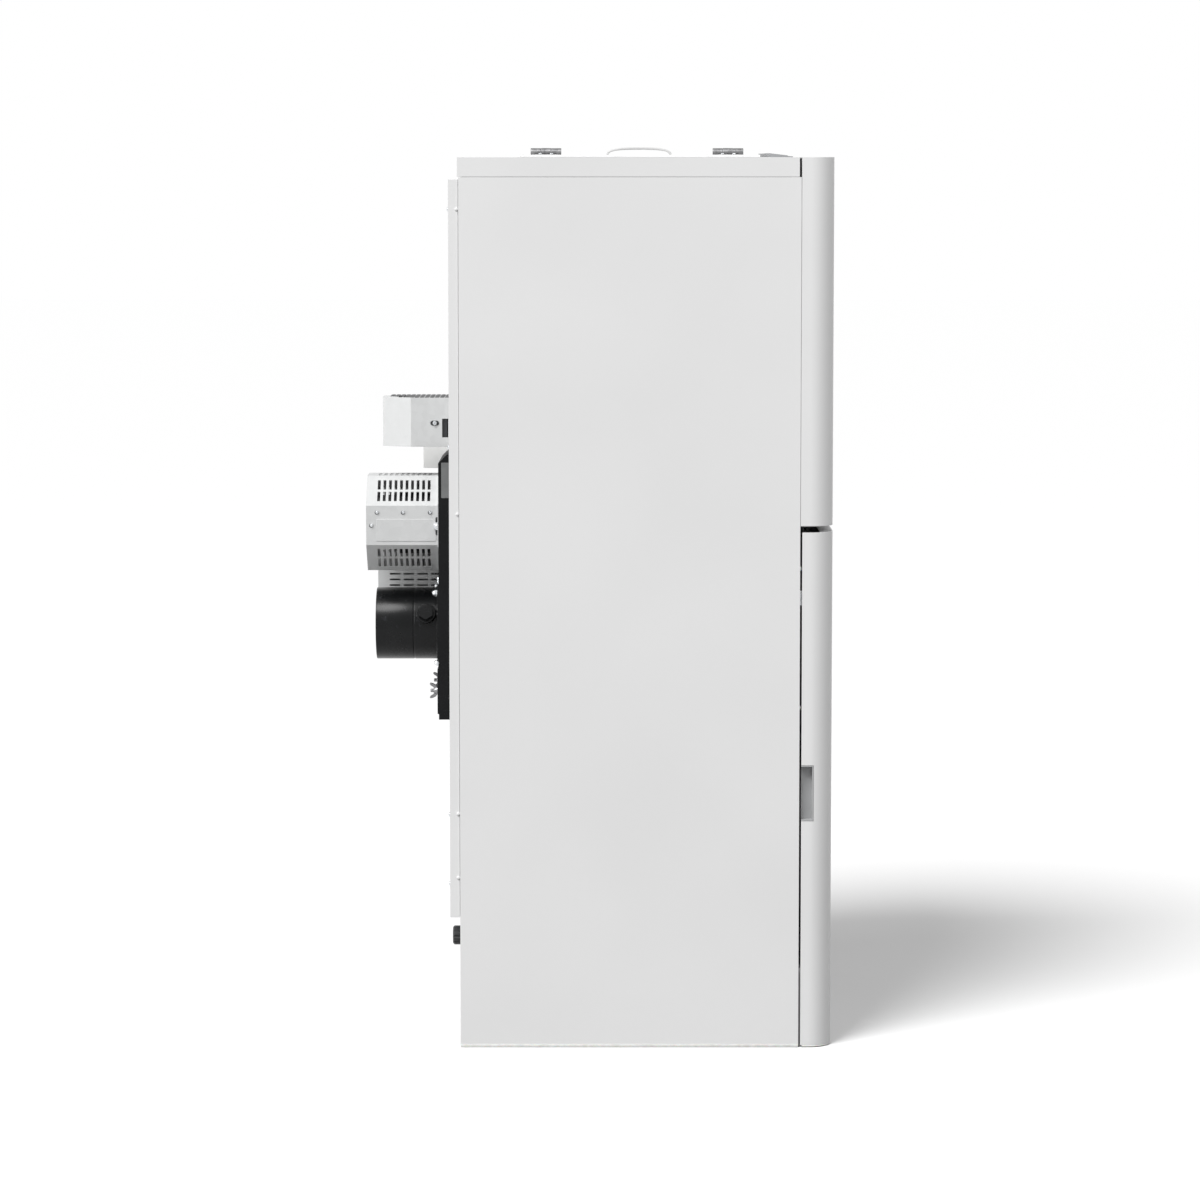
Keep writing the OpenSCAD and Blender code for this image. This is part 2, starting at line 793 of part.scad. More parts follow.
// Bar with a baffled rod in each tube and one lift rod up to the lever
module turbulator_rack() {
  drop = header_z - tube_low_z - jacket_t / 2;
  color("#8b8580") {
    difference() {
      translate([-(tube_n - 1) / 2 * tube_pitch - rack_w / 2, tube_y - rack_w / 2, rack_z])
        cube([(tube_n - 1) * tube_pitch + rack_w, rack_w, rack_t]);
      each_tube() rod_z(rack_rod_r / 2, rack_z - over, rack_z + rack_t + over);
    }
    each_tube() {
      rod_z(rack_rod_r / 2, rack_z - drop, rack_z + rack_t);
      for (k = [0:baffle_n - 1]) {
        translate([0, 0, rack_z - drop * (k + 1) / baffle_n])
          cylinder(r1 = rack_rod_r, r2 = tube_r - baffle_clear, h = rack_t);
      }
    }
    translate([rack_rod_x, rack_rod_y, 0]) rod_z(rack_rod_r, rack_z + rack_t, fork_z + fork_w / 2);
    translate([rack_rod_x, 0, fork_z]) rod_y_pin();
  }
}

module rod_y_pin() {
  rod_y(pin_r, rack_rod_y, arm_y + arm_t / 2 + arm_gap);
}

// Rocking shaft through the rear wall: a slotted arm over the rack's pin, and a counterweight
module cleaning_shaft() {
  color("#a9abad") difference() {
    union() {
      translate([clean_x, 0, clean_z]) rod_y(shaft_r, arm_y - arm_t / 2, rear_y + shaft_out);
      translate([clean_x, 0, clean_z]) rod_y(2 * shaft_r, arm_y - arm_t / 2, arm_y + arm_t / 2);
      translate([clean_x + weight_arm, 0, clean_z])
        rod_y(weight_r, arm_y - weight_t / 2, arm_y + weight_t / 2);
      block(clean_x - lever_l - slot_l - 2 * pin_r, clean_x + weight_arm,
            arm_y - arm_t / 2, arm_y + arm_t / 2, clean_z - 2 * pin_r, clean_z + 2 * pin_r);
    }
    hull() {
      for (x = [clean_x - lever_l - slot_l, clean_x - lever_l]) {
        translate([x, 0, clean_z]) rod_y(pin_r + 2 * seam, arm_y - arm_t, arm_y + arm_t);
      }
    }
  }
}

clean_case_d = 100;
clean_half = 41;
clean_cut = 40;
clean_cut_share = 0.6;
clean_low = 33;
clean_high = 35;
clean_t = 1.5;
cable_port_y = 8.4;
cable_port_w = 8.4;
cable_port_h = 26;
cable_port_drop = 7;
vent_n = 9;
vent_start = 14;
vent_pitch = 7.4;
vent_l = 54;
vent_w = 4.6;

module cleaning_outline(inset) {
  x = clean_half - inset;
  y = clean_case_d - inset;
  c = clean_cut - inset * 0.6;
  polygon([[-x, 0], [x, 0], [x, y - c], [x - c * clean_cut_share, y],
           [-x + c * clean_cut_share, y], [-x, y - c]]);
}

module cleaning_cover() {
  slot_y = 25.1;
  slot_shift = 4;
  slot_r = 3;
  color("#a8a9aa") difference() {
    translate([clean_x, rear_y, clean_z - clean_low]) difference() {
      linear_extrude(clean_low + clean_high) cleaning_outline(0);
      translate([0, -over, clean_t]) linear_extrude(clean_low + clean_high - 2 * clean_t)
        cleaning_outline(clean_t);
    }
    for (y = [slot_y, slot_y + slot_shift]) {
      translate([clean_x - clean_half, rear_y + y, clean_z]) rod_x(slot_r, -over, clean_t + over);
    }
    block(clean_x - clean_half - over, clean_x - clean_half + clean_t + over, rear_y + cable_port_y,
          rear_y + cable_port_y + cable_port_w, clean_z - cable_port_drop - cable_port_h / 2,
          clean_z - cable_port_drop + cable_port_h / 2);
    for (i = [0:vent_n - 1]) {
      translate([clean_x, rear_y + vent_start + i * vent_pitch, clean_z + clean_high])
        block(-vent_l / 2, vent_l / 2, 0, vent_w, -clean_t - over, over);
    }
  }
}

motor_r = 17;
motor_side_gap = 3;
motor_end_gap = 12;
gearbox_d = 26;
gearbox_back = 10;

module cleaning_gearmotor() {
  y0 = rear_y + gearbox_back;
  color("#2f3133") difference() {
    union() {
      block(clean_x - clean_half + motor_side_gap, clean_x + clean_half - motor_side_gap,
            y0, y0 + gearbox_d, clean_z - clean_low + clean_t, clean_z + clean_high - motor_side_gap);
      translate([clean_x, 0, clean_z])
        rod_y(motor_r, y0 + gearbox_d, rear_y + clean_case_d - motor_end_gap);
    }
    translate([clean_x, 0, clean_z]) rod_y(shaft_r + fit, y0 - over, rear_y + shaft_out + over);
  }
}

// Firebox door with its seal, hinge barrels and latch
fire_door_t = 16;
seal_t = 5;
seal_w = 9;
seal_in = 2;
fire_pivot_out = 14;
fire_pivot_x = fire_door_x1 + fire_pivot_out;
fire_pivot_y = body_front_y - seal_t - fire_door_t / 2;
fire_front_y = body_front_y - seal_t - fire_door_t;
fire_barrel_r = 7;
fire_barrel_l = 36;
fire_pin_r = 4;
fire_hinge_shares = [0.18, 0.82];
rib_h = 3;
rib_w = 12;
window_w = 110;
window_h = 80;
latch_in = 26;
latch_x = fire_door_x0 + latch_in;
latch_z = (fire_door_z0 + fire_door_z1) / 2;
latch_bore_r = 6;

module at_fire_hinges() {
  for (t = fire_hinge_shares) {
    translate([fire_pivot_x, fire_pivot_y, fire_door_z0 + t * (fire_door_z1 - fire_door_z0)]) children();
  }
}

module firebox_door() {
  mid_x = (fire_door_x0 + fire_door_x1) / 2;
  color("#2c2d2e") difference() {
    union() {
      block(fire_door_x0, fire_door_x1, fire_front_y, body_front_y - seal_t, fire_door_z0, fire_door_z1);
      difference() {
        block(fire_door_x0, fire_door_x1, fire_front_y - rib_h, fire_front_y, fire_door_z0, fire_door_z1);
        block(fire_door_x0 + rib_w, fire_door_x1 - rib_w, fire_front_y - rib_h - over, fire_front_y,
              fire_door_z0 + rib_w, fire_door_z1 - rib_w);
      }
      block(mid_x - window_w / 2, mid_x + window_w / 2, fire_front_y - rib_h, fire_front_y,
            latch_z - window_h / 2, latch_z + window_h / 2);
      at_fire_hinges() {
        rod_z(fire_barrel_r, -fire_barrel_l / 2, fire_barrel_l / 2);
        block(fire_door_x1 - fire_pivot_x - over, 0, -fire_door_t / 2, 0,
              -fire_barrel_l / 2, fire_barrel_l / 2);
      }
      translate([latch_x, 0, latch_z]) rod_y(2 * latch_bore_r, fire_front_y - 2 * rib_h, fire_front_y);
    }
    block(mid_x - window_w / 2 + rib_w, mid_x + window_w / 2 - rib_w, fire_front_y - rib_h - over,
          body_front_y, latch_z - window_h / 2 + rib_w, latch_z + window_h / 2 - rib_w);
    at_fire_hinges() rod_z(fire_pin_r + fit, -fire_barrel_l, fire_barrel_l);
    translate([latch_x, 0, latch_z]) rod_y(latch_bore_r + fit, fire_front_y - 3 * rib_h, body_front_y);
  }
}

module seal_block(inset, back, front) {
  block(fire_door_x0 + inset, fire_door_x1 - inset, body_front_y - seal_t - front,
        body_front_y + back, fire_door_z0 + inset, fire_door_z1 - inset);
}

module firebox_seal() {
  color("#c9c4b8") difference() {
    seal_block(seal_in, -seam, 0);
    seal_block(seal_in + seal_w, over, over);
  }
}

// Hinge ears on the boiler, with the pins that the firebox door turns on
ear_t = 5;
ear_gap = 0.5;

module firebox_hinges() {
  h = fire_barrel_l / 2;
  color("#55585b") at_fire_hinges() {
    rod_z(fire_pin_r, -h - ear_gap - ear_t, h + ear_gap + ear_t);
    for (z = [-h - ear_gap - ear_t, h + ear_gap]) {
      rod_z(fire_barrel_r, z, z + ear_t);
      block(-fire_barrel_r, fire_barrel_r, 0, body_front_y - fire_pivot_y, z, z + ear_t);
    }
  }
}

handle_l = 92;
handle_r = 8;
handle_out = 14;
hub_in = 1;

// Latch spindle with a grip in front and a cam behind the door
module firebox_handle() {
  hub_r = 2 * latch_bore_r - hub_in;
  y0 = fire_front_y - 2 * rib_h - seam;
  color("#b7babc") translate([latch_x, 0, latch_z]) {
    rod_y(latch_bore_r, y0 - handle_out, body_front_y - seam);
    rod_y(hub_r, y0 - handle_out, y0);
    translate([0, y0 - handle_out / 2, 0]) {
      rod_z(handle_r * 0.5, -handle_l, 0);
      rod_z(handle_r * 0.8, -handle_l, -handle_l * 0.35);
      translate([0, 0, -handle_l]) sphere(r = handle_r * 0.8);
    }
  }
}

// Ash drawer with a folded front and a grip bar
drawer_t = 2;
drawer_front_t = 8;
drawer_lip = 10;
drawer_rear_gap = 30;
drawer_depth = firebox_rear_y - body_front_y - drawer_rear_gap;
grip_w = 110;
grip_out = 14;
grip_t = 5;

module ash_drawer() {
  z0 = ash_z + seam;
  z1 = ash_top_z - drawer_top_gap - seam;
  x = drawer_half - 3 * seam;
  y0 = plate_y - seam - drawer_front_t;
  color("#3f4143") {
    difference() {
      block(-x + drawer_lip, x - drawer_lip, y0, body_front_y + drawer_depth, z0, z1 - drawer_lip);
      block(-x + drawer_lip + drawer_t, x - drawer_lip - drawer_t, y0 + drawer_front_t + drawer_t,
            body_front_y + drawer_depth - drawer_t, z0 + drawer_t, z1);
    }
    block(-x - drawer_lip, x + drawer_lip, y0, y0 + drawer_front_t,
          z0 - drawer_lip / 2, z1 + drawer_lip / 4);
    for (s = [-1, 1]) {
      translate([s * grip_w / 2, y0 - grip_out, (z0 + z1) / 2]) rod_y(grip_t / 2, 0, grip_out);
    }
    translate([0, y0 - grip_out, (z0 + z1) / 2])
      rod_x(grip_t, -grip_w / 2 - grip_t, grip_w / 2 + grip_t);
  }
}

// Burner cup: sloped sides, air holes and a slotted floor
cup_h = 58;
cup_t = 4;
cup_hole_r = 2.6;
cup_hole_n = 6;
cup_rows = 3;
flange_t = 5;
cup_clear = 1;
cup_below = 12;
slot_below = 14;

module brazier() {
  w = grate_w - 2 * (holder_lip + cup_clear);
  d = grate_d - 2 * (holder_lip + cup_clear);
  color("#38393a") translate([burner_x, burner_y, firebox_z + lid_gap]) difference() {
    union() {
      block(-w / 2, w / 2, -d / 2, d / 2, -cup_below, cup_h);
      block(-w / 2 - holder_lip, w / 2 + holder_lip, -d / 2 - holder_lip, d / 2 + holder_lip,
            0, flange_t);
    }
    block(-w / 2 + cup_t, w / 2 - cup_t, -d / 2 + cup_t, d / 2 - cup_t,
          cup_t - cup_below, cup_h + over);
    for (i = [0:cup_hole_n - 1]) {
      for (k = [0:cup_rows - 1]) {
        translate([(i - (cup_hole_n - 1) / 2) * w / (cup_hole_n + 1), 0,
                   flange_t + (k + 1) * (cup_h - flange_t) / (cup_rows + 1)])
          rod_y(cup_hole_r, -d, d);
      }
      translate([(i - (cup_hole_n - 1) / 2) * w / (cup_hole_n + 1), 0, 0])
        block(-cup_hole_r / 2, cup_hole_r / 2, -d * 0.35, d * 0.35, -slot_below, 0);
    }
  }
}

igniter_r = 8;
igniter_gap = 6;
igniter_lift = 3;
igniter_tip = 4;
igniter_collar = 6;

module igniter() {
  y = burner_y + grate_d / 2 + igniter_gap;
  color("#9a9c9e") translate([burner_x, 0, firebox_z + cup_h / 3 + igniter_lift]) {
    rod_y(igniter_r, y, firebox_rear_y);
    rod_y(igniter_r * 0.5, y - igniter_tip, y);
    rod_y(igniter_r * 1.6, firebox_rear_y - igniter_collar, firebox_rear_y);
  }
}

// Hopper bin: straight walls above, two slopes down to the auger's trough
slope_left_z = 900;
slope_right_z = 762;
flange_w = 20;
bin_gap = 0.2;
rim_in = 1;

module bin_outline(inset) {
  x = bin_w / 2 - inset;
  t0 = auger_x - trough_w / 2 + inset;
  t1 = auger_x + trough_w / 2 - inset;
  drop = inset * 1.4;
  polygon([[-x, bin_top_z], [-x, slope_left_z + inset * 0.5], [t0, trough_z + drop], [t0, trough_z],
           [t1, trough_z], [t1, trough_z + drop], [x, slope_right_z + inset * 0.5], [x, bin_top_z]]);
}

module bin_solid(inset, y0, y1, top) {
  translate([0, y1, 0]) rotate([90, 0, 0]) linear_extrude(y1 - y0) bin_outline(inset);
  if (top > 0) {
    block(-bin_w / 2 + inset, bin_w / 2 - inset, y0, y1, bin_top_z - over, bin_top_z + top);
  }
}

module hopper_bin() {
  y0 = lid_y - bin_d / 2 + bin_gap;
  y1 = lid_y + bin_d / 2 - bin_gap;
  x = bin_w / 2;
  color("#b4b6b8") difference() {
    union() {
      bin_solid(0, y0, y1, 0);
      block(-x - flange_w, x + flange_w, y0 - flange_w * 0.5, y1 + flange_w * 0.5,
            frame_top_z, frame_top_z + bin_t);
    }
    bin_solid(bin_t, y0 + bin_t, y1 - bin_t, over);
    block(auger_x - trough_w / 2 + bin_t, auger_x + trough_w / 2 - bin_t, y0 + bin_t, y1 - bin_t,
          trough_z - over, trough_z + over);
  }
}

rim_w = 10;

module hopper_seal() {
  x = bin_w / 2 - rim_in;
  y = bin_d / 2 - rim_in;
  x1 = x - rim_w * 0.6;
  y1 = y - rim_w * 0.6;
  translate([0, lid_y, bin_top_z]) difference() {
    block(-x, x, -y, y, 0, case_h - bin_top_z);
    block(-x1, x1, -y1, y1, -over, 2 * over + lid_t);
  }
}

// White silicone: the buffers behind the door's edge and the seal on the bin's rim
module silicone_parts() {
  color("#f2f2f2") {
    door_buffers();
    hopper_seal();
  }
}

// Feed: tube with an inlet slot under the bin and a drop hole at its front end
feed_front_y = burner_y - chute_w / 2;
inlet_front = 40;
inlet_rear = 10;
inlet_y0 = lid_y - bin_d / 2 + inlet_front;
inlet_y1 = lid_y + bin_d / 2 - inlet_rear;
drop_w = 40;
saddle_t = 4;
saddle_wall = 6;
tube_end_gap = 3;

module auger_tube() {
  color("#8f9294") difference() {
    union() {
      translate([auger_x, 0, auger_z]) rod_y(auger_tube_r, feed_front_y, rear_y - tube_end_gap);
      block(auger_x - trough_w / 2, auger_x + trough_w / 2, inlet_y0 - 2 * saddle_wall,
            inlet_y1 + saddle_wall, auger_z, trough_z - bin_gap);
      block(auger_x - auger_tube_r * 0.8, auger_x + auger_tube_r * 0.8,
            burner_y - drop_w / 2 - saddle_t, burner_y + drop_w / 2 + saddle_t,
            body_top_z + cover_plate_t, auger_z);
    }
    translate([auger_x, 0, auger_z])
      rod_y(auger_tube_r - auger_tube_t, feed_front_y + saddle_t, rear_y + over);
    block(auger_x - trough_w / 2 + saddle_wall, auger_x + trough_w / 2 - saddle_wall,
          inlet_y0, inlet_y1 - saddle_wall,
          auger_z + auger_r * 0.8, trough_z + over);
    block(auger_x - drop_w / 2, auger_x + drop_w / 2, burner_y - drop_w / 2, burner_y + drop_w / 2,
          body_top_z, auger_z);
  }
}

auger_end_gap = 2;
auger_front_y = feed_front_y + saddle_t + auger_end_gap;
flight_t = 7;
flight_gap = 0.08;
flight_end = 16;
auger_shaft_out = 44;
auger_rear_y = rear_y + auger_shaft_out;

module auger_screw() {
  l = rear_y - flight_end - auger_front_y;
  color("#8b8d8f") translate([auger_x, auger_front_y, auger_z]) {
    rod_y(auger_shaft_r, 0, auger_rear_y - auger_front_y);
    translate([0, auger_end_gap, 0]) rotate([-90, 0, 0])
      linear_extrude(height = l, twist = -360 * l / auger_pitch,
                     slices = ceil(l / auger_pitch * 14), segments = 6)
        translate([auger_shaft_r + flight_gap, -flight_t / 2])
          square([auger_r - auger_shaft_r - flight_gap, flight_t]);
  }
}

gear_w = 66;
gear_d = 34;
gear_motor_r = 30;
gear_motor_l = 56;

module feed_gearmotor() {
  y0 = rear_y;
  color("#2f3133") difference() {
    union() {
      block(auger_x - gear_w / 2, auger_x + gear_w / 2, y0, y0 + gear_d,
            auger_z - gear_w, auger_z + gear_w / 2);
      translate([auger_x, 0, auger_z - gear_w / 3])
        rod_y(gear_motor_r, y0 + gear_d, y0 + gear_d + gear_motor_l);
    }
    translate([auger_x, 0, auger_z]) rod_y(auger_shaft_r + fit, rear_y - over, auger_rear_y + auger_end_gap);
  }
}

// Slotted guard over the feed gearmotor
feed_guard_z0 = 540;
feed_guard_z1 = 742;
feed_guard_d = 114;
guard_t = 1.5;
feed_slot_l = 15;
feed_slot_h = 2.4;
feed_slot_pitch = 19.6;
feed_row_pitch = 8.1;
feed_cols = 5;
feed_rows = 20;
feed_slot_start = 4;
feed_row_start = 19.2;

module feed_guard() {
  x0 = gear_x0;
  x1 = gear_x1;
  color("#b6b8ba") difference() {
    union() {
      block(x0, x1, rear_y, rear_y + feed_guard_d, feed_guard_z0, feed_guard_z1);
      block(x0, x1 + flange_w / 2, rear_y, rear_y + guard_t, feed_guard_z0 - flange_w / 2,
            feed_guard_z1 + flange_w / 2);
    }
    block(x0 + guard_t, x1 - guard_t, rear_y - over, rear_y + feed_guard_d - guard_t,
          feed_guard_z0 + guard_t, feed_guard_z1 - guard_t);
    for (i = [0:feed_cols - 1]) {
      for (k = [0:feed_rows - 1]) {
        translate([0, rear_y + feed_slot_start + i * feed_slot_pitch,
                   feed_guard_z0 + feed_row_start + k * feed_row_pitch])
          block(x0 - over, x0 + guard_t + over, 0, feed_slot_l, 0, feed_slot_h);
      }
    }
  }
}

chute_t = 2;
chute_drop = 100;
chute_seat = 1;
chute_dip = 2;

// Sloping chute from the drop hole into the burner cup
module pellet_chute() {
  low_z = firebox_z + cup_h + chute_drop;
  x1 = auger_x + chute_w / 2;
  top_z = body_top_z + cover_plate_t;
  color("#6e7173") translate([0, burner_y + chute_w / 2, 0]) rotate([90, 0, 0]) difference() {
    linear_extrude(chute_w) polygon([
      [x1 - chute_w, top_z], [x1, top_z], [x1, firebox_top_z],
      [burner_x + chute_w / 2, low_z], [burner_x - chute_w / 2, low_z],
      [chute_x0 + chute_seat, firebox_top_z - chute_dip]
    ]);
    translate([0, 0, chute_t]) linear_extrude(chute_w - 2 * chute_t)
      polygon([
        [x1 - chute_w + chute_t, top_z + cover_plate_t], [x1 - chute_t, top_z + cover_plate_t],
        [x1 - chute_t, firebox_top_z + chute_t],
        [burner_x + chute_w / 2 - chute_t * 2, low_z - over],
        [burner_x - chute_w / 2 + chute_t, low_z - over],
        [chute_x0 + chute_t + chute_seat, firebox_top_z - chute_dip - chute_t]
      ]);
  }
}

// Smoke box, open to the header in front, to the fan and the flue behind
smoke_t = 2;
smoke_cut = 12;
smoke_back_y = rear_y + smoke_out;
smoke_front_y = body_rear_y + seam;
fan_hole_r = 30;

module smoke_profile(inset) {
  y0 = smoke_front_y + inset;
  y1 = smoke_back_y - inset;
  z0 = smoke_z + inset;
  z1 = smoke_z + smoke_h - inset;
  polygon([[y0, z0], [y1, z0], [y1, z1 - smoke_cut], [y1 - smoke_cut, z1], [y0, z1]]);
}

module smoke_box() {
  x0 = smoke_x - smoke_half;
  color("#26282a") difference() {
    translate([x0, 0, 0]) rotate([90, 0, 90]) difference() {
      linear_extrude(smoke_w) smoke_profile(0);
      translate([0, 0, smoke_t]) linear_extrude(smoke_w - 2 * smoke_t) smoke_profile(smoke_t);
    }
    block(smoke_x - smoke_window_w / 2, smoke_x + smoke_window_w / 2, smoke_front_y - over,
          smoke_front_y + 2 * over, header_z, body_top_z - jacket_t * 0.2);
    translate([smoke_x, 0, fan_z]) rod_y(fan_hole_r, smoke_back_y - 2 * over, smoke_back_y + over);
    translate([smoke_x, 0, flue_z]) rod_y(flue_r - flue_t, smoke_back_y - 2 * over, smoke_back_y + over);
    block(smoke_x - smoke_half + flange_w, smoke_x + smoke_half - flange_w, smoke_back_y - 2 * over,
          smoke_back_y + over, smoke_z + flange_w * 0.8, smoke_z + flange_w * 2);
  }
}

wing_r = 4;
wing_l = 14;
wing_out = 6;
wing_d = 8;
wing_stud_l = 11;
wing_hub_l = 5;
cover_in = 8;
cover_gap = 6;

module inspection_cover() {
  x = smoke_half - cover_in;
  z0 = smoke_z + cover_gap;
  z1 = flue_z - flue_r - cover_gap;
  zc = (z0 + z1) / 2;
  color("#303234") difference() {
    translate([smoke_x, 0, 0]) block(-x, x, smoke_back_y, smoke_back_y + sheet_t, z0, z1);
    translate([smoke_x - smoke_half + flange_w / 2, 0, zc])
      rod_y(screw_r, smoke_back_y - over, smoke_back_y + 2 * over);
  }
  color("#c9ccce") for (s = [-1, 1]) {
    translate([smoke_x + s * (x - wing_l), smoke_back_y + sheet_t, zc]) {
      rod_y(wing_r * 0.6, 0, wing_stud_l);
      rod_y(wing_r * 1.3, 0, wing_hub_l);
      for (w = [-1, 1]) {
        translate([0, wing_out, w * wing_l * 0.4]) rotate([w * 20, 0, 0])
          cube([wing_r * 0.5, wing_d, wing_l * 0.6], center = true);
      }
    }
  }
}

// Fan: impeller in the smoke box, motor outside under the octagonal guard
impeller_front_gap = 16;
impeller_rear_gap = 10;
impeller_hub_in = 4;
fan_shaft_out = 30;
impeller_y0 = smoke_front_y + impeller_front_gap;
impeller_y1 = smoke_back_y - impeller_rear_gap;
fan_shaft_r = 4;
impeller_hub_r = 11;
blade_t = 1.6;

module fan_impeller() {
  color("#9a9c9d") translate([smoke_x, 0, fan_z]) {
    difference() {
      union() {
        rod_y(fan_r, impeller_y1 - blade_t, impeller_y1);
        rod_y(impeller_hub_r, impeller_y0 + impeller_hub_in, impeller_y1);
        for (i = [0:fan_blades - 1]) {
          rotate([0, i * 360 / fan_blades, 0])
            translate([impeller_hub_r * 2, 0, 0]) rotate([0, 28, 0])
              block(0, fan_r - impeller_hub_r * 2.5, impeller_y0, impeller_y1 - blade_t, 0, blade_t);
        }
      }
      rod_y(fan_shaft_r, impeller_y0 - over, impeller_y1 + over);
    }
    rod_y(fan_shaft_r, impeller_y0, smoke_back_y + fan_shaft_out);
  }
}

fan_motor_r = 41;
fan_motor_d = 62;
fin_n = 16;
fin_in = 2;
fin_out = 4;
fin_t = 2;
motor_flange_t = 6;
motor_flange_out = 12;
motor_cap_d = 10;
motor_nose = 1.5;
nose_clear = 0.5;

module fan_motor() {
  y0 = smoke_back_y + guard_t + seam;
  y1 = y0 + motor_flange_t;
  color("#3b3d3f") translate([smoke_x, 0, fan_z]) difference() {
    union() {
      rod_y(fan_motor_r, y1, y0 + fan_motor_d);
      rod_y(fan_motor_r * 0.6, y0 + fan_motor_d, y0 + fan_motor_d + motor_cap_d);
      rod_y(fan_hole_r - nose_clear, smoke_back_y - motor_nose, y1);
      rod_y(fan_motor_r + motor_flange_out, y0, y1);
      for (i = [0:fin_n - 1]) {
        rotate([0, i * 360 / fin_n, 0])
          block(fan_motor_r - fin_in, fan_motor_r + fin_out, y1 + fin_out,
                y0 + fan_motor_d - motor_flange_t, -fin_t / 2, fin_t / 2);
      }
    }
    rod_y(fan_shaft_r + fit, smoke_back_y - 2 * over, smoke_back_y + fan_shaft_out + over);
  }
}

// Octagonal guard: slots on the sloping sides, top and bottom, plain upright sides
guard_slot_pitch = 7.7;
guard_slot_w = 4;
guard_slot_l = 17;
guard_cols = 10;
guard_start = 12;
guard_lip = 6;
slot_mid = 2;

module octagon_y(af, y0, y1) {
  translate([0, y0, 0]) rotate([-90, 0, 0]) rotate([0, 0, 22.5])
    cylinder(r = af / 2 / cos(22.5), h = y1 - y0, $fn = 8);
}

module fan_guard() {
  y0 = smoke_back_y;
  y1 = guard_y;
  color("#b0b2b3") translate([smoke_x, 0, fan_z]) difference() {
    union() {
      octagon_y(guard_af, y0, y1);
      octagon_y(guard_af + 2 * guard_lip, y0, y0 + guard_t);
    }
    octagon_y(guard_af - 2 * guard_t, y0 - over, y1 - guard_t);
    for (turn = [0, 45, 135]) {
      rotate([0, turn, 0]) for (i = [0:guard_cols - 1]) {
        for (s = [-1, 1]) {
          translate([s * (guard_slot_l / 2 + slot_mid), y0 + guard_start + i * guard_slot_pitch, 0])
            block(-guard_slot_l / 2, guard_slot_l / 2, 0, guard_slot_w, -guard_af, guard_af);
        }
      }
    }
    for (a = [0:30:330]) {
      rotate([0, a, 0]) block(fan_motor_r * 0.5, fan_motor_r * 1.3, y1 - 2 * over, y1 + over,
                              -guard_slot_w / 2, guard_slot_w / 2);
    }
  }
}

bead_h = 3;
bead_w = 7;
flange_p = 47;
flange_edge = 9;
flange_half = flange_p + flange_edge;
spigot_flange_t = 3;
nut_t = 4;
flange_low = 1;
bead_y = 36;
plug_y = 18.7;
plug_turn = -69;
plug_r = 14;
plug_boss = 4;
plug_h = 7;
plug_boss_in = 2;
plug_root = 3;
nut_r = 5;
test_hole_r = 9;

module flue_spigot() {
  y0 = smoke_back_y;
  y1 = rear_y + flue_reach;
  color("#1e1f20") translate([smoke_x, 0, flue_z]) difference() {
    union() {
      rod_y(flue_r, y0, y1);
      rod_y(flue_r + bead_h, y0 + bead_y, y0 + bead_y + bead_w);
      intersection() {
        block(-flange_half, flange_half, y0, y0 + spigot_flange_t, flange_low - flue_r, flange_half);
        rod_y(flange_half * 1.3, y0 - over, y0 + spigot_flange_t + over);
      }
      rotate([0, plug_turn, 0]) translate([0, y0 + plug_y, 0])
        rod_z(plug_r - plug_boss_in, flue_r - plug_root, flue_r + plug_boss);
    }
    rod_y(flue_r - flue_t, y0 - over, y1 + over);
    rotate([0, plug_turn, 0]) translate([0, y0 + plug_y, 0])
      rod_z(test_hole_r + fit, flue_r - plug_r, flue_r + plug_boss + over);
  }
  color("#c9ccce") for (s = [-1, 1]) {
    translate([smoke_x + s * flange_p, y0 + spigot_flange_t, flue_z + flange_p]) hex_y(nut_r, 0, nut_t);
  }
}

module test_plug() {
  color("#3c3e40") translate([smoke_x, smoke_back_y + plug_y, flue_z]) rotate([0, plug_turn, 0]) {
    rod_z(test_hole_r, flue_r - flange_low, flue_r + plug_boss);
    translate([0, 0, flue_r + plug_boss]) cylinder(r = plug_r - plug_root, h = plug_h, $fn = 6);
  }
}

switch_gap = 40;
switch_x = smoke_x + smoke_half + switch_gap;
switch_w = 32;
switch_y1 = 49;
switch_z = 760;
switch_h = 32;
nozzle_r = 3;
nozzle_l = 8;

module pressure_switch() {
  x0 = switch_x - switch_w / 2;
  color("#e8e8e6") {
    block(x0, x0 + switch_w, rear_y, rear_y + switch_y1, switch_z, switch_z + switch_h);
    translate([x0 + switch_w / 2, rear_y + switch_y1 / 2, 0]) rod_z(nozzle_r, switch_z - nozzle_l, switch_z);
  }
}

// Water side
vessel_r = 140;
vessel_y = -40;
vessel_z = 300;
vessel_gap = 6;
vessel_side = 8;
vessel_lug = 15;
lug_in = 2;
vessel_x0 = body_w / 2 + vessel_gap;
vessel_x1 = frame_x - vessel_side;

module expansion_vessel() {
  c = (vessel_x1 - vessel_x0) / 2;
  xm = (vessel_x0 + vessel_x1) / 2;
  color("#b23a2e") translate([xm, vessel_y, vessel_z]) rotate([0, 90, 0]) {
    rotate_extrude($fn = 96) polygon([
      [0, -c], [vessel_r * 0.6, -c], [vessel_r * 0.88, -c * 0.75], [vessel_r, -c * 0.25],
      [vessel_r, c * 0.25], [vessel_r * 0.88, c * 0.75], [vessel_r * 0.6, c], [0, c]
    ]);
  }
  color("#8f9294") block(body_w / 2, vessel_x0 + lug_in, vessel_y - vessel_lug, vessel_y + vessel_lug,
                         vessel_z - vessel_lug, vessel_z + vessel_lug);
}

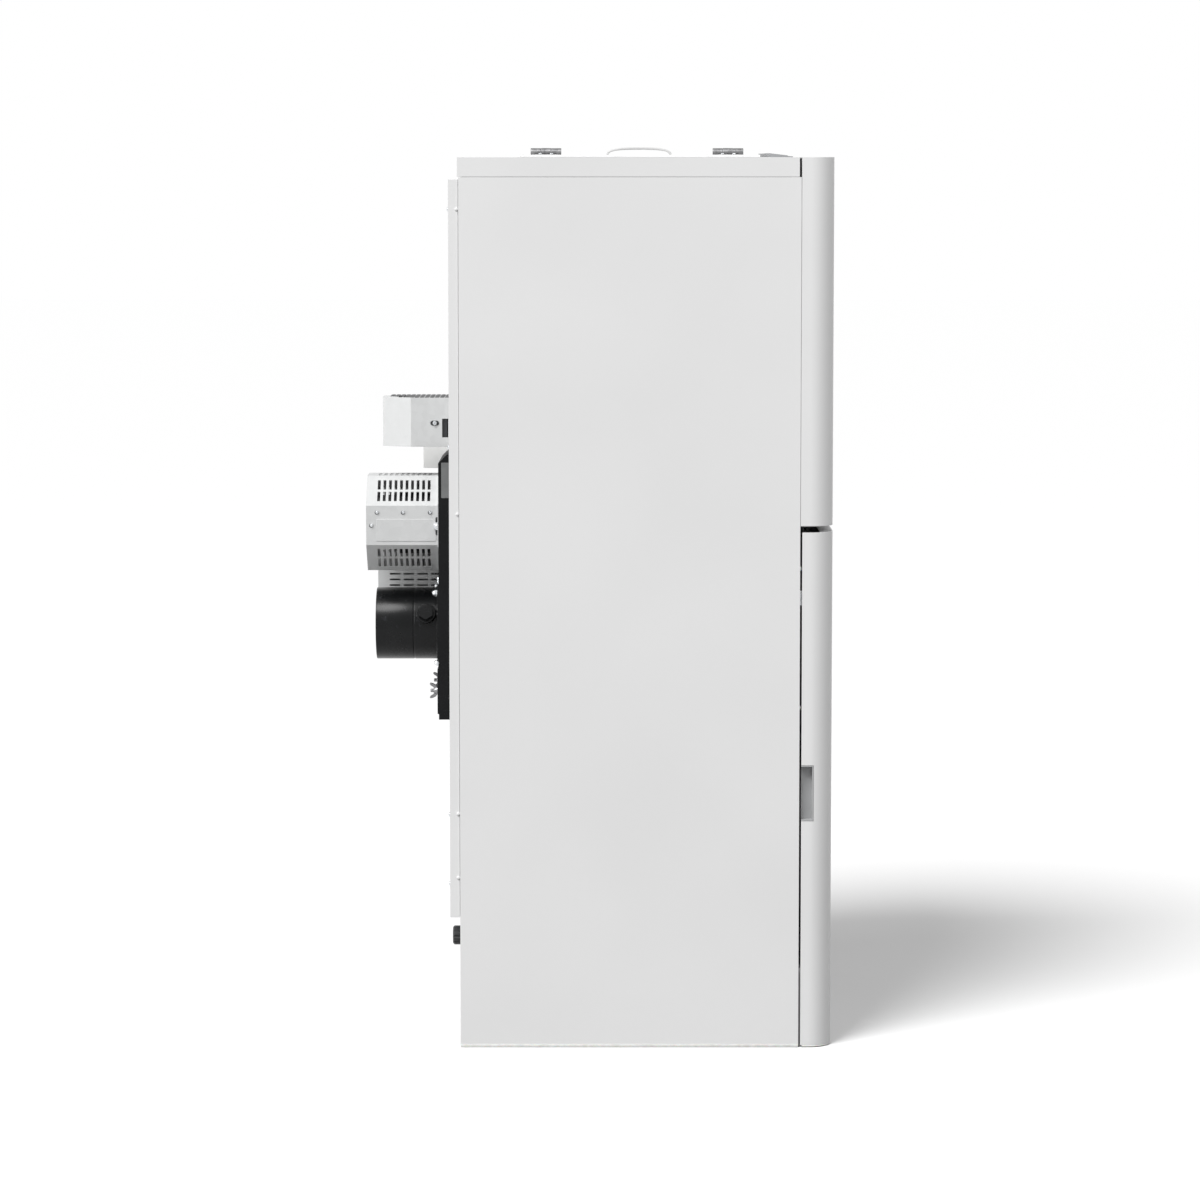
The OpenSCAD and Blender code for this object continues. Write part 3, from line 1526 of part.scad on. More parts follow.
pipe_r = 11;
flow_y = 46;
flow_top_in = 35;
flow_top_x = -body_w / 2 + flow_top_in;
pump_z = 690;
pump_h = 80;
loop_rise = 40;
loop_z = pump_z + pump_h + loop_rise;
pump_r = 34;
pump_front = 26;
pump_rear = 14;
pump_motor_d = 40;
union_out = 6;
elbow_out = 1;

module pump() {
  color("#8c1f1f") translate([flow_top_x, flow_y, 0]) {
    rod_z(pipe_r + union_out, pump_z, pump_z + pump_h);
    translate([0, 0, pump_z + pump_h / 2]) rod_y(pump_r, -pump_front, pump_rear);
    translate([0, 0, pump_z + pump_h / 2]) rod_y(pump_r * 1.15, -pump_front - pump_motor_d, -pump_front);
  }
}

module elbow() {
  sphere(r = pipe_r + elbow_out);
}

// Flow pipe through the pump and down the side; both water lines end in threaded sockets
socket_l = 26;
socket_depth = 18;
socket_gap = 5;

module socket(y0, y1) {
  difference() {
    rod_y(socket_r, y0, y1);
    rod_y(socket_bore_r, y1 - socket_depth, y1 + over);
  }
}

module water_pipes() {
  y1 = side_rear_y - socket_gap;
  color("#c58a4a") {
    translate([flow_top_x, flow_y, 0]) {
      rod_z(pipe_r, body_top_z, pump_z);
      rod_z(pipe_r, pump_z + pump_h, loop_z);
    }
    translate([flow_top_x, flow_y, loop_z]) elbow();
    translate([0, flow_y, loop_z]) rod_x(pipe_r, -flow_x, flow_top_x);
    translate([-flow_x, flow_y, loop_z]) elbow();
    translate([-flow_x, flow_y, 0]) rod_z(pipe_r, flow_z, loop_z);
    translate([-flow_x, flow_y, flow_z]) elbow();
    translate([-flow_x, 0, flow_z]) rod_y(pipe_r, flow_y, y1 - socket_l);
    translate([-flow_x, 0, flow_z]) socket(y1 - socket_l, y1);
    translate([return_x, 0, flow_z]) socket(body_rear_y, y1);
  }
}

valve_in = 90;
valve_x = -body_w / 2 + valve_in;
valve_h = 62;

module safety_valve() {
  color("#b98d3e") translate([valve_x, flow_y, 0]) {
    rod_z(pipe_r, body_top_z, body_top_z + valve_h * 0.6);
    translate([0, 0, body_top_z + valve_h * 0.2]) cylinder(r = pipe_r * 1.4, h = valve_h * 0.25, $fn = 6);
    translate([0, 0, body_top_z + valve_h * 0.35]) rod_x(pipe_r * 0.8, -pipe_r * 2.4, 0);
  }
  color("#b01c1c") translate([valve_x, flow_y, 0])
    rod_z(pipe_r * 1.5, body_top_z + valve_h * 0.6, body_top_z + valve_h);
}

knob_r = 13;
knob_l = 11;
knob_flutes = 10;
drain_stem_r = 4;
knob_gap = 1;
knob_edge = 2;
knob_neck = 5;
flute_r = 2;
flute_out = 0.8;
spout_l = 12;
spout_back = 14;
hex_t = 8;
hex_out = 3;
body_end = 6;
stem_in = 10;

module drain_valve() {
  y1 = rear_y - knob_l - knob_gap;
  color("#b98d3e") translate([-drain_x, 0, drain_z]) difference() {
    union() {
      rod_y(drain_body_r, body_rear_y, y1 - body_end);
      hex_y(drain_body_r + hex_out, lower_plate_y + sheet_t + seam, lower_plate_y + sheet_t + hex_t);
      translate([0, y1 - spout_back, 0]) rod_z(drain_body_r * 0.7, -drain_body_r - spout_l, 0);
    }
    rod_y(drain_stem_r + fit, body_rear_y + stem_in, y1);
  }
}

module drain_knob() {
  y0 = rear_y - knob_l - knob_gap;
  color("#1a1a1b") translate([-drain_x, 0, drain_z]) {
    rod_y(drain_stem_r, body_rear_y + stem_in + over, y0);
    difference() {
      union() {
        rod_y(knob_r, y0, y0 + knob_l - knob_edge);
        translate([0, y0 + knob_l - knob_edge, 0]) rotate([-90, 0, 0])
          cylinder(r1 = knob_r, r2 = knob_r - knob_edge, h = knob_edge);
        rod_y(drain_body_r * 0.8, y0 - knob_neck, y0);
      }
      for (i = [0:knob_flutes - 1]) {
        rotate([0, i * 360 / knob_flutes, 0]) translate([knob_r + flute_out, 0, 0])
          rod_y(flute_r, y0 - over, rear_y + over);
      }
    }
  }
}

// Electrics
board_y0 = -120;
board_l = 200;
board_top_gap = 119.6;
board_h = 150;
board_d = 46;
board_z = frame_top_z - ring_h - board_top_gap - board_h;
board_side = 4;
board_base_t = 6;
board_edge = 10;
board_pad = 3.7;
plug_row = 40;

module control_board() {
  x1 = frame_x - board_side;
  x0 = x1 - board_d;
  y1 = board_y0 + board_l;
  z1 = board_z + board_h;
  color("#31465a") {
    block(x0 + board_base_t, x1, board_y0, y1, board_z, z1);
    block(x0, x0 + board_base_t, board_y0 + board_edge, y1 - plug_row, board_z + board_edge, z1 - board_edge);
    block(x1, x1 + board_pad, board_y0 + 2 * board_edge, y1 - 2 * board_edge,
          board_z + 2 * board_edge, z1 - 2 * board_edge);
  }
}

// Console: a low wedge on the cover, with the display and three push-buttons
console_w = 300;
console_d = 36;
console_gap = 10;
console_y0 = lid_y - lid_d / 2 - console_gap - console_d;
console_low = 2;
console_high = 9;
console_slope = atan((console_high - console_low) / console_d);
display_w = 90;
display_d = 22;
display_t = 1.6;
display_x = -50;
button_r = 5.5;
button_h = 5;
button_out = 1.6;
button_clear = 0.3;
button_travel = 1.2;
button_pitch = 24;
button_x = 50;
button_back = 6;
button_edge = 0.5;
display_sink = 0.1;

module on_console() {
  translate([0, console_y0, case_h + console_low]) rotate([console_slope, 0, 0])
    translate([0, console_d / cos(console_slope) / 2, 0]) children();
}

module console() {
  color("#2a2c2e") difference() {
    translate([-console_w / 2, 0, 0]) rotate([90, 0, 90]) linear_extrude(console_w)
      polygon([[console_y0, case_h], [console_y0 + console_d, case_h],
               [console_y0 + console_d, case_h + console_high], [console_y0, case_h + console_low]]);
    on_console() {
      translate([display_x, 0, 0]) block(-display_w / 2 - seam / 2, display_w / 2 + seam / 2,
        -display_d / 2 - seam / 2, display_d / 2 + seam / 2, -display_t, over);
      for (i = [0:2]) {
        translate([button_x + i * button_pitch, button_back, 0])
          rod_z(button_r + button_clear, button_out - button_h - button_travel - button_clear, over);
      }
    }
  }
}

module display() {
  color("#101820") on_console() translate([display_x, 0, 0])
    block(-display_w / 2, display_w / 2, -display_d / 2, display_d / 2, -display_t, -display_sink);
}

module button(i) {
  color("#d8d9da") on_console() translate([button_x + i * button_pitch, button_back, 0]) {
    rod_z(button_r, button_out - button_h, button_out - button_edge);
    translate([0, 0, button_out - button_edge])
      cylinder(r1 = button_r, r2 = button_r - button_edge, h = button_edge);
  }
}

// Mains inlet with its rocker switch, set in the rear panel
rocker_w = 18;
rocker_h = 14;
rocker_z = 12;
inlet_d = 22;
inlet_lip = 3;
prong_w = 2;
prong_h = 4;
prong_pitch = 7;
prong_shift = 3;
inlet_wall = 2;
inlet_end = 3;
rocker_well = 6;

module power_inlet() {
  color("#1c1d1e") translate([inlet_x, rear_y, inlet_z]) difference() {
    union() {
      block(-inlet_w / 2, inlet_w / 2, -inlet_d, 0, -inlet_h / 2, inlet_h / 2);
      block(-inlet_w / 2 - inlet_lip, inlet_w / 2 + inlet_lip, 0, inlet_wall,
            -inlet_h / 2 - inlet_lip, inlet_h / 2 + inlet_lip);
    }
    block(-inlet_w / 2 + inlet_wall, inlet_w / 2 - inlet_wall, inlet_end - inlet_d, over + inlet_wall,
          inlet_wall - inlet_h / 2, 0);
    block(-rocker_w / 2 - seam, rocker_w / 2 + seam, rocker_well - inlet_d, over + inlet_wall,
          rocker_z - rocker_h / 2 - seam, rocker_z + rocker_h / 2 + seam);
  }
  color("#c9ccce") translate([inlet_x, rear_y, inlet_z - inlet_h / 4]) {
    for (i = [-1, 0, 1]) {
      translate([i * prong_pitch, 0, (1 - abs(i)) * prong_shift])
        block(-prong_w / 2, prong_w / 2, inlet_end - inlet_d, -inlet_end, -prong_h / 2, prong_h / 2);
    }
  }
}

rocker_tilt = 8;
rocker_back = 4;
rocker_front = 5;
rocker_crest = 7.2;
rocker_dip = 5.6;
rocker_in = 2;
crest_in = 2.4;
rocker_axis = 6;

module rocker() {
  z = rocker_h / 2 - rocker_in;
  c = rocker_h / 2 - crest_in;
  color("#8e1b1b") translate([inlet_x, rear_y - rocker_axis, inlet_z + rocker_z])
    rotate([-rocker_tilt, 0, 0]) rotate([90, 0, 90])
      translate([0, 0, -rocker_w / 2]) linear_extrude(rocker_w)
        polygon([[-rocker_back, -z], [rocker_front, -z], [rocker_crest, -c], [rocker_dip, 0],
                 [rocker_crest, c], [rocker_front, z], [-rocker_back, z]]);
}

air_t = 1.5;
air_out = 18;
air_lip = 8;
air_end = 2;

module air_inlet() {
  color("#b4b6b8") translate([air_x, 0, air_z]) difference() {
    union() {
      rod_y(air_r, body_rear_y, rear_y + air_out);
      rod_y(air_r + air_lip, rear_y, rear_y + air_t);
    }
    rod_y(air_r - air_t, body_rear_y + air_end, rear_y + air_out + over);
  }
}

base_frame();
levelling_feet();
side_panel_left();
side_panel_right();
top_cover();
upper_front_panel();
rear_panel();
lower_rear_plate();
inner_front_plate();
casing_screws();
door_skin();
door_liner();
finger_pull();
silicone_parts();
door_hinge_brackets();
boiler_body();
tube_cover();
turbulator_rack();
cleaning_shaft();
cleaning_gearmotor();
cleaning_cover();
firebox_door();
firebox_seal();
firebox_hinges();
firebox_handle();
ash_drawer();
brazier();
igniter();
hopper_bin();
hopper_lid();
lid_handle();
lid_hinge_bases();
auger_tube();
auger_screw();
feed_gearmotor();
feed_guard();
pellet_chute();
smoke_box();
inspection_cover();
fan_impeller();
fan_motor();
fan_guard();
flue_spigot();
test_plug();
pressure_switch();
pump();
expansion_vessel();
safety_valve();
water_pipes();
drain_valve();
drain_knob();
control_board();
console();
display();
button(0);  // button_1
button(1);  // button_2
button(2);  // button_3
power_inlet();
rocker();
air_inlet();
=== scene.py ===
import json
import math

import bmesh
import bpy
from mathutils import Matrix, Vector


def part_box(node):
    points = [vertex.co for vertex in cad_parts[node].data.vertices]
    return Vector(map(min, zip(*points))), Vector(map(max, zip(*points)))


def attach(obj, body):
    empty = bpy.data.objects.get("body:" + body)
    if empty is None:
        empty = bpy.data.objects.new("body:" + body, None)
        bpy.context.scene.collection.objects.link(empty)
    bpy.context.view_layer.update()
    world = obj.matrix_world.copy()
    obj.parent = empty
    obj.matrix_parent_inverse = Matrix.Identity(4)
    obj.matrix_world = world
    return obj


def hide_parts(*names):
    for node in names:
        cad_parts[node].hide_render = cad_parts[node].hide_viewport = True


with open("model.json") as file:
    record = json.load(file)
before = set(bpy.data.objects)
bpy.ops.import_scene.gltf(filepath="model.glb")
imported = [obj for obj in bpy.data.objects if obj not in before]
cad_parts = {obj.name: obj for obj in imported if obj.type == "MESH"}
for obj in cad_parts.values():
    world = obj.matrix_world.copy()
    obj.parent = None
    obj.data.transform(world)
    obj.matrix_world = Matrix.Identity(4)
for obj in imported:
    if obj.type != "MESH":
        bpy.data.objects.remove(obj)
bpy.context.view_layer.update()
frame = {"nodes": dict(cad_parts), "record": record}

nodes = frame["nodes"]
mm = 0.001
print("frame loaded:", len(nodes), "nodes")


# Helpers for materials

def toLinear(hexColour):
    channels = [int(hexColour[i:i + 2], 16) / 255 for i in (1, 3, 5)]
    linear = [c / 12.92 if c <= 0.04045 else ((c + 0.055) / 1.055) ** 2.4 for c in channels]
    return (*linear, 1.0)


def addNode(tree, kind, settings=None, links=None):
    node = tree.nodes.new("ShaderNode" + kind)
    for key, value in (settings or {}).items():
        if isinstance(key, int) or key in node.inputs:
            node.inputs[key].default_value = value
        else:
            setattr(node, key, value)
    for key, source in (links or {}).items():
        tree.links.new(source, node.inputs[key])
    return node


def emptyTree(owner):
    owner.use_nodes = True
    owner.node_tree.nodes.clear()
    return owner.node_tree


# Noise over the piece's own coordinates, its features so many millimetres across
def noise(tree, place, size, detail=3.0, roughness=0.5):
    settings = {"Scale": 1 / (size * mm), "Detail": detail, "Roughness": roughness}
    return addNode(tree, "TexNoise", settings, {"Vector": place})


# Two tones blended where the pattern runs through the band
def blend(tree, pattern, tones, band):
    ramp = addNode(tree, "ValToRGB", None, {"Fac": pattern})
    for element, position, colour in zip(ramp.color_ramp.elements, band, tones):
        element.position = position
        element.color = toLinear(colour)
    return ramp.outputs["Color"]


def layNoise(tree, place, look):
    made = {}
    for pattern in look["patterns"]:
        if pattern not in made:
            made[pattern] = noise(tree, place, *pattern).outputs["Fac"]
    return [made[pattern] for pattern in look["patterns"]]


# Crystals for tone and roughness: cells whose edges are bent a little
def layCrystals(tree, place, look):
    wander = noise(tree, place, *look["wander"])
    bent = addNode(tree, "VectorMath", {"operation": "MULTIPLY_ADD", 1: (look["bend"] * mm,) * 3},
                   {0: wander.outputs["Color"], 2: place})
    cells = addNode(tree, "TexVoronoi", {"Scale": 1 / (look["crystal"] * mm)},
                    {"Vector": bent.outputs["Vector"]})
    shine = addNode(tree, "SeparateColor", None, {"Color": cells.outputs["Color"]}).outputs["Red"]
    return shine, shine, noise(tree, place, look["grain"]).outputs["Fac"]


# Rolling lines for roughness and relief: noise drawn out up and down
def layRollingLines(tree, place, look):
    drawn = addNode(tree, "Mapping", {"Scale": (1.0, 1.0, look["drawn"])}, {"Vector": place})
    lines = noise(tree, drawn.outputs["Vector"], *look["lines"]).outputs["Fac"]
    return noise(tree, place, *look["handled"]).outputs["Fac"], lines, lines


# A finish is a Principled shader under three patterns. The first blends the tones, the second moves
# the roughness between two values, and the third is a relief, depth mm deep, over edges rounded by
# edge mm. A pattern is noise: its size in mm, its detail and its roughness
def makeFinish(name, look):
    material = bpy.data.materials.new(name)
    tree = emptyTree(material)
    shader = addNode(tree, "BsdfPrincipled", look["shader"])
    addNode(tree, "OutputMaterial", None, {"Surface": shader.outputs[0]})
    place = addNode(tree, "TexCoord").outputs["Object"]
    toneBy, roughBy, reliefBy = look.get("lay", layNoise)(tree, place, look)
    tone = blend(tree, toneBy, look["tones"], look.get("band", (0.35, 0.65)))
    if "scuff" in look:
        rubs = noise(tree, place, *look["rub"]).outputs["Fac"]
        marks = blend(tree, rubs, ("#000000", look["scuff"]), look["rubBand"])
        tone = addNode(tree, "VectorMath", {"operation": "ADD"}, {0: tone, 1: marks}).outputs["Vector"]
    smooth, rough = look["roughness"]
    spread = addNode(tree, "MapRange", {"To Min": smooth, "To Max": rough}, {"Value": roughBy})
    edge = addNode(tree, "Bevel", {"samples": 4, "Radius": look["edge"] * mm})
    bump = addNode(tree, "Bump", {"Strength": 1.0, "Distance": look["depth"] * mm},
                   {"Height": reliefBy, "Normal": edge.outputs["Normal"]})
    tree.links.new(tone, shader.inputs["Base Color"])
    tree.links.new(spread.outputs["Result"], shader.inputs["Roughness"])
    tree.links.new(bump.outputs["Normal"], shader.inputs["Normal"])
    return material


# Polyester powder, sprayed and baked: an even pale skin with soft orange peel. The peel is 1 mm or so
# across, drawn at 3 mm so that it shows
powderCoat = {
    "shader": {"IOR": 1.5},
    "tones": ("#EAEAEA", "#E7E7E7"),
    "patterns": ((260.0, 2.0), (60.0, 4.0), (3.2, 1.5)),
    "roughness": (0.38, 0.48),
    "depth": 0.02,
    "edge": 0.8,
}

# The same powder on the lid's bow, made darker as painted shade: a shaded copy of the casing's powder
bowPowderPaintedShade = dict(powderCoat, tones=("#CDCDCD", "#C8C8C8"))

# Hot-dip galvanised steel, passivated, pressed and punched: a soft matt grey with faint crystal
# patches about 9 mm across. The passivated skin hides most of the metal's shine
zincSheet = {
    "shader": {"Metallic": 0.12},
    "tones": ("#C9CACA", "#CDCECE"),
    "band": (0.1, 0.9),
    "roughness": (0.42, 0.56),
    "lay": layCrystals,
    "crystal": 9.0,
    "wander": (14.0, 2.0),
    "bend": 4.0,
    "grain": 2.5,
    "depth": 0.015,
    "edge": 0.5,
}

# Cold-rolled sheet: fine rolling lines up and down. The frame and the smoke box wear it under black
# primer, the ash pan under soot, and the door's liner bare
rolledSheet = {"lay": layRollingLines, "drawn": 0.02, "handled": (55.0, 5.0, 0.6), "lines": (2.0, 4.0),
               "band": (0.3, 0.7), "depth": 0.012, "edge": 0.6}
primedSheet = dict(rolledSheet, tones=("#0C0D0E", "#121314"), roughness=(0.4, 0.52),
                   shader={"Metallic": 0.0, "Specular IOR Level": 0.14})
bareSheet = dict(rolledSheet, tones=("#939596", "#A9ABAC"), roughness=(0.36, 0.5),
                 shader={"Metallic": 0.7, "Specular IOR Level": 0.5})
sootySheet = dict(rolledSheet, tones=("#606161", "#787979"), roughness=(0.5, 0.68), lines=(3.0, 4.0),
                  shader={"Metallic": 0.4, "Specular IOR Level": 0.4})

# Silicone heat paint on steel: a flat soot black, slightly mottled where the heat has dulled it, with
# greyer rubbed marks
heatPaint = {
    "shader": {"IOR": 1.48, "Specular IOR Level": 0.2},
    "tones": ("#0B0C0D", "#121314"),
    "patterns": ((45.0, 5.0, 0.6), (45.0, 5.0, 0.6), (2.4,)),
    "roughness": (0.22, 0.32),
    "scuff": "#34353A",
    "rub": (16.0, 8.0, 0.74),
    "rubBand": (0.6, 0.72),
    "depth": 0.04,
    "edge": 0.8,
}

# Hot-rolled boiler plate, welded: blue-grey mill scale, with brown blooms where it runs hottest
boilerPlate = {
    "shader": {"Metallic": 0.4},
    "tones": ("#3B3B3D", "#57493F"),
    "band": (0.42, 0.7),
    "patterns": ((70.0, 7.0, 0.62), (70.0, 7.0, 0.62), (3.0, 5.0, 0.7)),
    "roughness": (0.55, 0.8),
    "depth": 0.1,
    "edge": 1.0,
}

# Sand-cast iron: a grey-black skin with the mould's grain, 2 to 3 mm
greyIron = {
    "shader": {"Metallic": 0.5},
    "tones": ("#2B2A2A", "#444241"),
    "patterns": ((30.0, 4.0), (2.6, 6.0, 0.7), (2.6, 6.0, 0.7)),
    "roughness": (0.6, 0.78),
    "depth": 0.15,
    "edge": 1.2,
}

# Electroplated zinc on screws, shafts and brackets: clean bright silver
zincPlate = {
    "shader": {"Metallic": 1.0},
    "tones": ("#C6C9CC", "#DFE1E3"),
    "patterns": ((12.0,), (12.0,), (1.6,)),
    "roughness": (0.2, 0.34),
    "depth": 0.006,
    "edge": 0.3,
}

# Die-cast zinc on the wing nuts and lid hinges: a duller, darker grey than the plated steel. The dullness is
# the cast metal's own; part of the darkness is painted shade, a shaded copy of the plated zinc
castZincWithPaintedShade = dict(zincPlate, tones=("#747475", "#8E8E8F"), patterns=((6.0,), (6.0,), (1.6,)),
                roughness=(0.3, 0.46))


# Injection-moulded plastic: one even colour under a fine spark-eroded texture, real grit 0.2 mm,
# drawn at 1.8 mm
def sparkTextured(tones, roughness, ior):
    return {"shader": {"IOR": ior}, "tones": tones, "roughness": roughness,
            "patterns": ((35.0,), (9.0,), (1.8, 2.0)), "depth": 0.02, "edge": 0.5}


nylonBlack = sparkTextured(("#1A1B1D", "#222326"), (0.42, 0.55), 1.53)
absGrey = sparkTextured(("#ABACAD", "#B3B4B5"), (0.4, 0.52), 1.54)
absWhite = sparkTextured(("#FBFBFA", "#F7F7F5"), (0.32, 0.44), 1.54)
consoleGrey = sparkTextured(("#8C8D8F", "#959698"), (0.4, 0.52), 1.54)
nylonRed = sparkTextured(("#A81E1B", "#96211C"), (0.3, 0.42), 1.53)
boardCase = sparkTextured(("#2E4F86", "#29487B"), (0.4, 0.52), 1.54)
motorShell = sparkTextured(("#202124", "#2A2B2E"), (0.45, 0.6), 1.53)

# Stoved enamel on pressed steel: glossy red with a slow ripple
redEnamel = {
    "shader": {"IOR": 1.52, "Coat Weight": 0.3, "Coat Roughness": 0.08},
    "tones": ("#A3211A", "#8E1D16"),
    "patterns": ((90.0,), (90.0,), (14.0, 1.0)),
    "roughness": (0.2, 0.3),
    "depth": 0.05,
    "edge": 0.8,
}

# Moulded silicone rubber: milky white, soft to the eye, with a dusty bloom
whiteSilicone = {
    "shader": {"IOR": 1.41, "Subsurface Weight": 0.15, "Subsurface Scale": 2 * mm},
    "tones": ("#F2F2EF", "#E4E3DF"),
    "patterns": ((8.0, 4.0), (8.0, 4.0), (1.5,)),
    "roughness": (0.5, 0.62),
    "depth": 0.015,
    "edge": 0.6,
}

# Braided glass-fibre rope: off-white yarn, matt, with single fibres drawn 0.6 mm apart along each strand
glassRope = {
    "shader": {"IOR": 1.55, "Sheen Weight": 0.25, "Sheen Roughness": 0.6},
    "tones": ("#A39D8E", "#D3CEC0"),
    "band": (0.25, 0.6),
    "patterns": ((26.0, 4.0), (0.6, 4.0, 0.7), (0.6, 4.0, 0.7)),
    "roughness": (0.85, 0.98),
    "depth": 0.12,
    "edge": 0.2,
}


# Bare warm metal, slightly tarnished in patches
def tarnished(tones, roughness, patch):
    return {"shader": {"Metallic": 1.0}, "tones": tones, "roughness": roughness,
            "patterns": ((patch, 5.0, 0.6), (patch, 5.0, 0.6), (1.2, 2.0)), "depth": 0.008, "edge": 0.4}


# Turned brass, and drawn copper with larger, browner patches
turnedBrass = tarnished(("#A98747", "#C9A45C"), (0.22, 0.36), 22.0)
drawnCopper = tarnished(("#99583C", "#C07A55"), (0.24, 0.42), 40.0)

# Tinted acrylic, cast and polished: almost black and mirror smooth
displayAcrylic = {
    "shader": {"IOR": 1.49, "Coat Weight": 0.5, "Coat Roughness": 0.03},
    "tones": ("#0B1014", "#10161B"),
    "patterns": ((16.0,), (16.0,), (16.0,)),
    "roughness": (0.04, 0.1),
    "depth": 0.004,
    "edge": 0.4,
}

finishLooks = {
    "powder_coat_light": ("bakedPolyesterPowder", powderCoat),
    "galvanised_sheet": ("galvanisedSteel", zincSheet),
    "dark_sheet": ("primedRolledSheet", primedSheet),
    "heat_paint": ("bakedHeatPaint", heatPaint),
    "boiler_steel": ("hotRolledPlate", boilerPlate),
    "cast_iron": ("sandCastIron", greyIron),
    "zinc_plate": ("electroplatedZinc", zincPlate),
    "black_plastic": ("mouldedNylonBlack", nylonBlack),
    "motor_black": ("mouldedMotorShell", motorShell),
    "grey_plastic": ("mouldedAbsGrey", absGrey),
    "white_plastic": ("mouldedAbsWhite", absWhite),
    "white_silicone": ("mouldedSilicone", whiteSilicone),
    "glass_rope": ("braidedGlassYarn", glassRope),
    "insulated_pan": ("bareRolledSheet", bareSheet),
    "ash_steel": ("sootyRolledSheet", sootySheet),
    "brass": ("turnedBrass", turnedBrass),
    "copper_pipe": ("drawnCopper", drawnCopper),
    "red_paint": ("stovedEnamel", redEnamel),
    "red_plastic": ("mouldedNylonRed", nylonRed),
    "board_blue": ("mouldedBoardCase", boardCase),
    "display_glass": ("castAcrylic", displayAcrylic),
    "consolePlastic": ("mouldedConsoleGrey", consoleGrey),
    "bowPowderPaintedShade": ("bowPolyesterPowderPaintedShade", bowPowderPaintedShade),
    "castZincPaintedShade": ("dieCastZincPaintedShade", castZincWithPaintedShade),
}
finishes = {slot: makeFinish(name, look) for slot, (name, look) in finishLooks.items()}
finishes["powder_coat_front"] = finishes["powder_coat_light"]
print("materials made:", len(finishes))

# Each CAD node wears the finish of its own slot in the record
for row in frame["record"]["subparts"]:
    for holder in nodes[row["node"]].material_slots:
        holder.material = finishes[row["material_slot"]]

# The rear panel's galvanised sheet is sprayed pale like the casing
for holder in nodes["rear_panel"].material_slots:
    holder.material = finishes["powder_coat_light"]


# Helpers for meshes, all in millimetres until addPiece scales them

def boxOf(name):
    low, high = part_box(name)
    return [value / mm for value in low], [value / mm for value in high]


toSide, toRear, toFront, upward = (-1, 0, 0), (0, 1, 0), (0, -1, 0), (0, 0, 1)
smallSteps, roundSteps, hexagon = 24, 32, 6


# A frame on a surface: its Z points outward
def standOn(point, outward, turn=0.0):
    lean = Vector(outward).to_track_quat("Z", "Y").to_matrix().to_4x4()
    return Matrix.Translation(point) @ lean @ Matrix.Rotation(math.radians(turn), 4, "Z")


# A frame for a profile seen from the side: its X and Y run along Y and Z, and its height along X
def fromSide(point):
    quarter = math.pi / 2
    return Matrix.Translation(point) @ Matrix.Rotation(quarter, 4, "Z") @ Matrix.Rotation(quarter, 4, "X")


def circle(count, radius=1.0):
    angles = [math.tau * k / count for k in range(count)]
    return [(radius * math.cos(angle), radius * math.sin(angle)) for angle in angles]


def ringOf(mesh, place, outline, height):
    return [mesh.verts.new(place @ Vector((x, y, height))) for x, y in outline]


# Faces from one ring to the next
def bridge(mesh, lower, upper):
    for k in range(len(lower)):
        after = (k + 1) % len(lower)
        mesh.faces.new((lower[k], lower[after], upper[after], upper[k]))


# One flat face between an outer ring and the rings inside it
def fillBetween(mesh, *rings):
    edges = []
    for ring in rings:
        for k in range(len(ring)):
            pair = (ring[k], ring[(k + 1) % len(ring)])
            edges.append(mesh.edges.get(pair) or mesh.edges.new(pair))
    bmesh.ops.triangle_fill(mesh, use_beauty=True, edges=edges)


def lathe(mesh, place, profile, steps=roundSteps):
    rings = [ringOf(mesh, place, circle(steps if radius > 1e-6 else 1, radius), height)
             for radius, height in profile]
    for lower, upper in zip(rings, rings[1:]):
        for k in range(steps):
            corners = [lower[k % len(lower)], lower[(k + 1) % len(lower)],
                       upper[(k + 1) % len(upper)], upper[k % len(upper)]]
            corners = list(dict.fromkeys(corners))
            if len(corners) > 2:
                mesh.faces.new(corners)
    return rings


def disc(mesh, place, radius, thick, steps):
    lathe(mesh, place, [(0.0, 0.0), (radius, 0.0), (radius, thick), (0.0, thick)], steps)


def prism(mesh, place, outline, low, high):
    bottom, top = ringOf(mesh, place, outline, low), ringOf(mesh, place, outline, high)
    mesh.faces.new(bottom)
    mesh.faces.new(top)
    bridge(mesh, bottom, top)


def arc(x, y, radius, start, steps):
    angles = [math.radians(start + 90 * k / steps) for k in range(steps + 1)]
    return [(x + radius * math.cos(angle), y + radius * math.sin(angle)) for angle in angles]


# A rectangle with round corners, half as wide and high as given, about a centre
def roundedBox(half, radius, steps=5, centre=(0, 0)):
    (x, y), wide, high = centre, half[0] - radius, half[1] - radius
    return (arc(x + wide, y + high, radius, 0, steps) + arc(x - wide, y + high, radius, 90, steps)
            + arc(x - wide, y - high, radius, 180, steps) + arc(x + wide, y - high, radius, 270, steps))


def centreAndHalf(first, second):
    return (first + second) / 2, (second - first) / 2


# A closed loop round the box of a node, so far inside it, in the two axes given
def loopInside(low, high, axes, inset, corner, steps):
    (x, wide), (y, tall) = [centreAndHalf(low[axis], high[axis]) for axis in axes]
    return roundedBox((wide - inset, tall - inset), corner, steps, (x, y))


# A round bar along a path of points
def sweep(mesh, path, radius, sides=8, closed=False):
    count = len(path)
    rings = []
    normal = None
    for k in range(count):
        ahead = path[(k + 1) % count] if closed or k < count - 1 else path[k]
        behind = path[k - 1] if closed or k > 0 else path[k]
        along = (ahead - behind).normalized()
        if normal is None:
            normal = along.orthogonal().normalized()
        normal = (normal - along * normal.dot(along)).normalized()
        across = along.cross(normal)
        rings.append([mesh.verts.new(path[k] + radius * (normal * x + across * y))
                      for x, y in circle(sides)])
    for k in range(count if closed else count - 1):
        bridge(mesh, rings[k], rings[(k + 1) % count])
    if not closed:
        mesh.faces.new(rings[0])
        mesh.faces.new(rings[-1])


crispAngle = math.radians(35)
bevelAngle = math.radians(30)


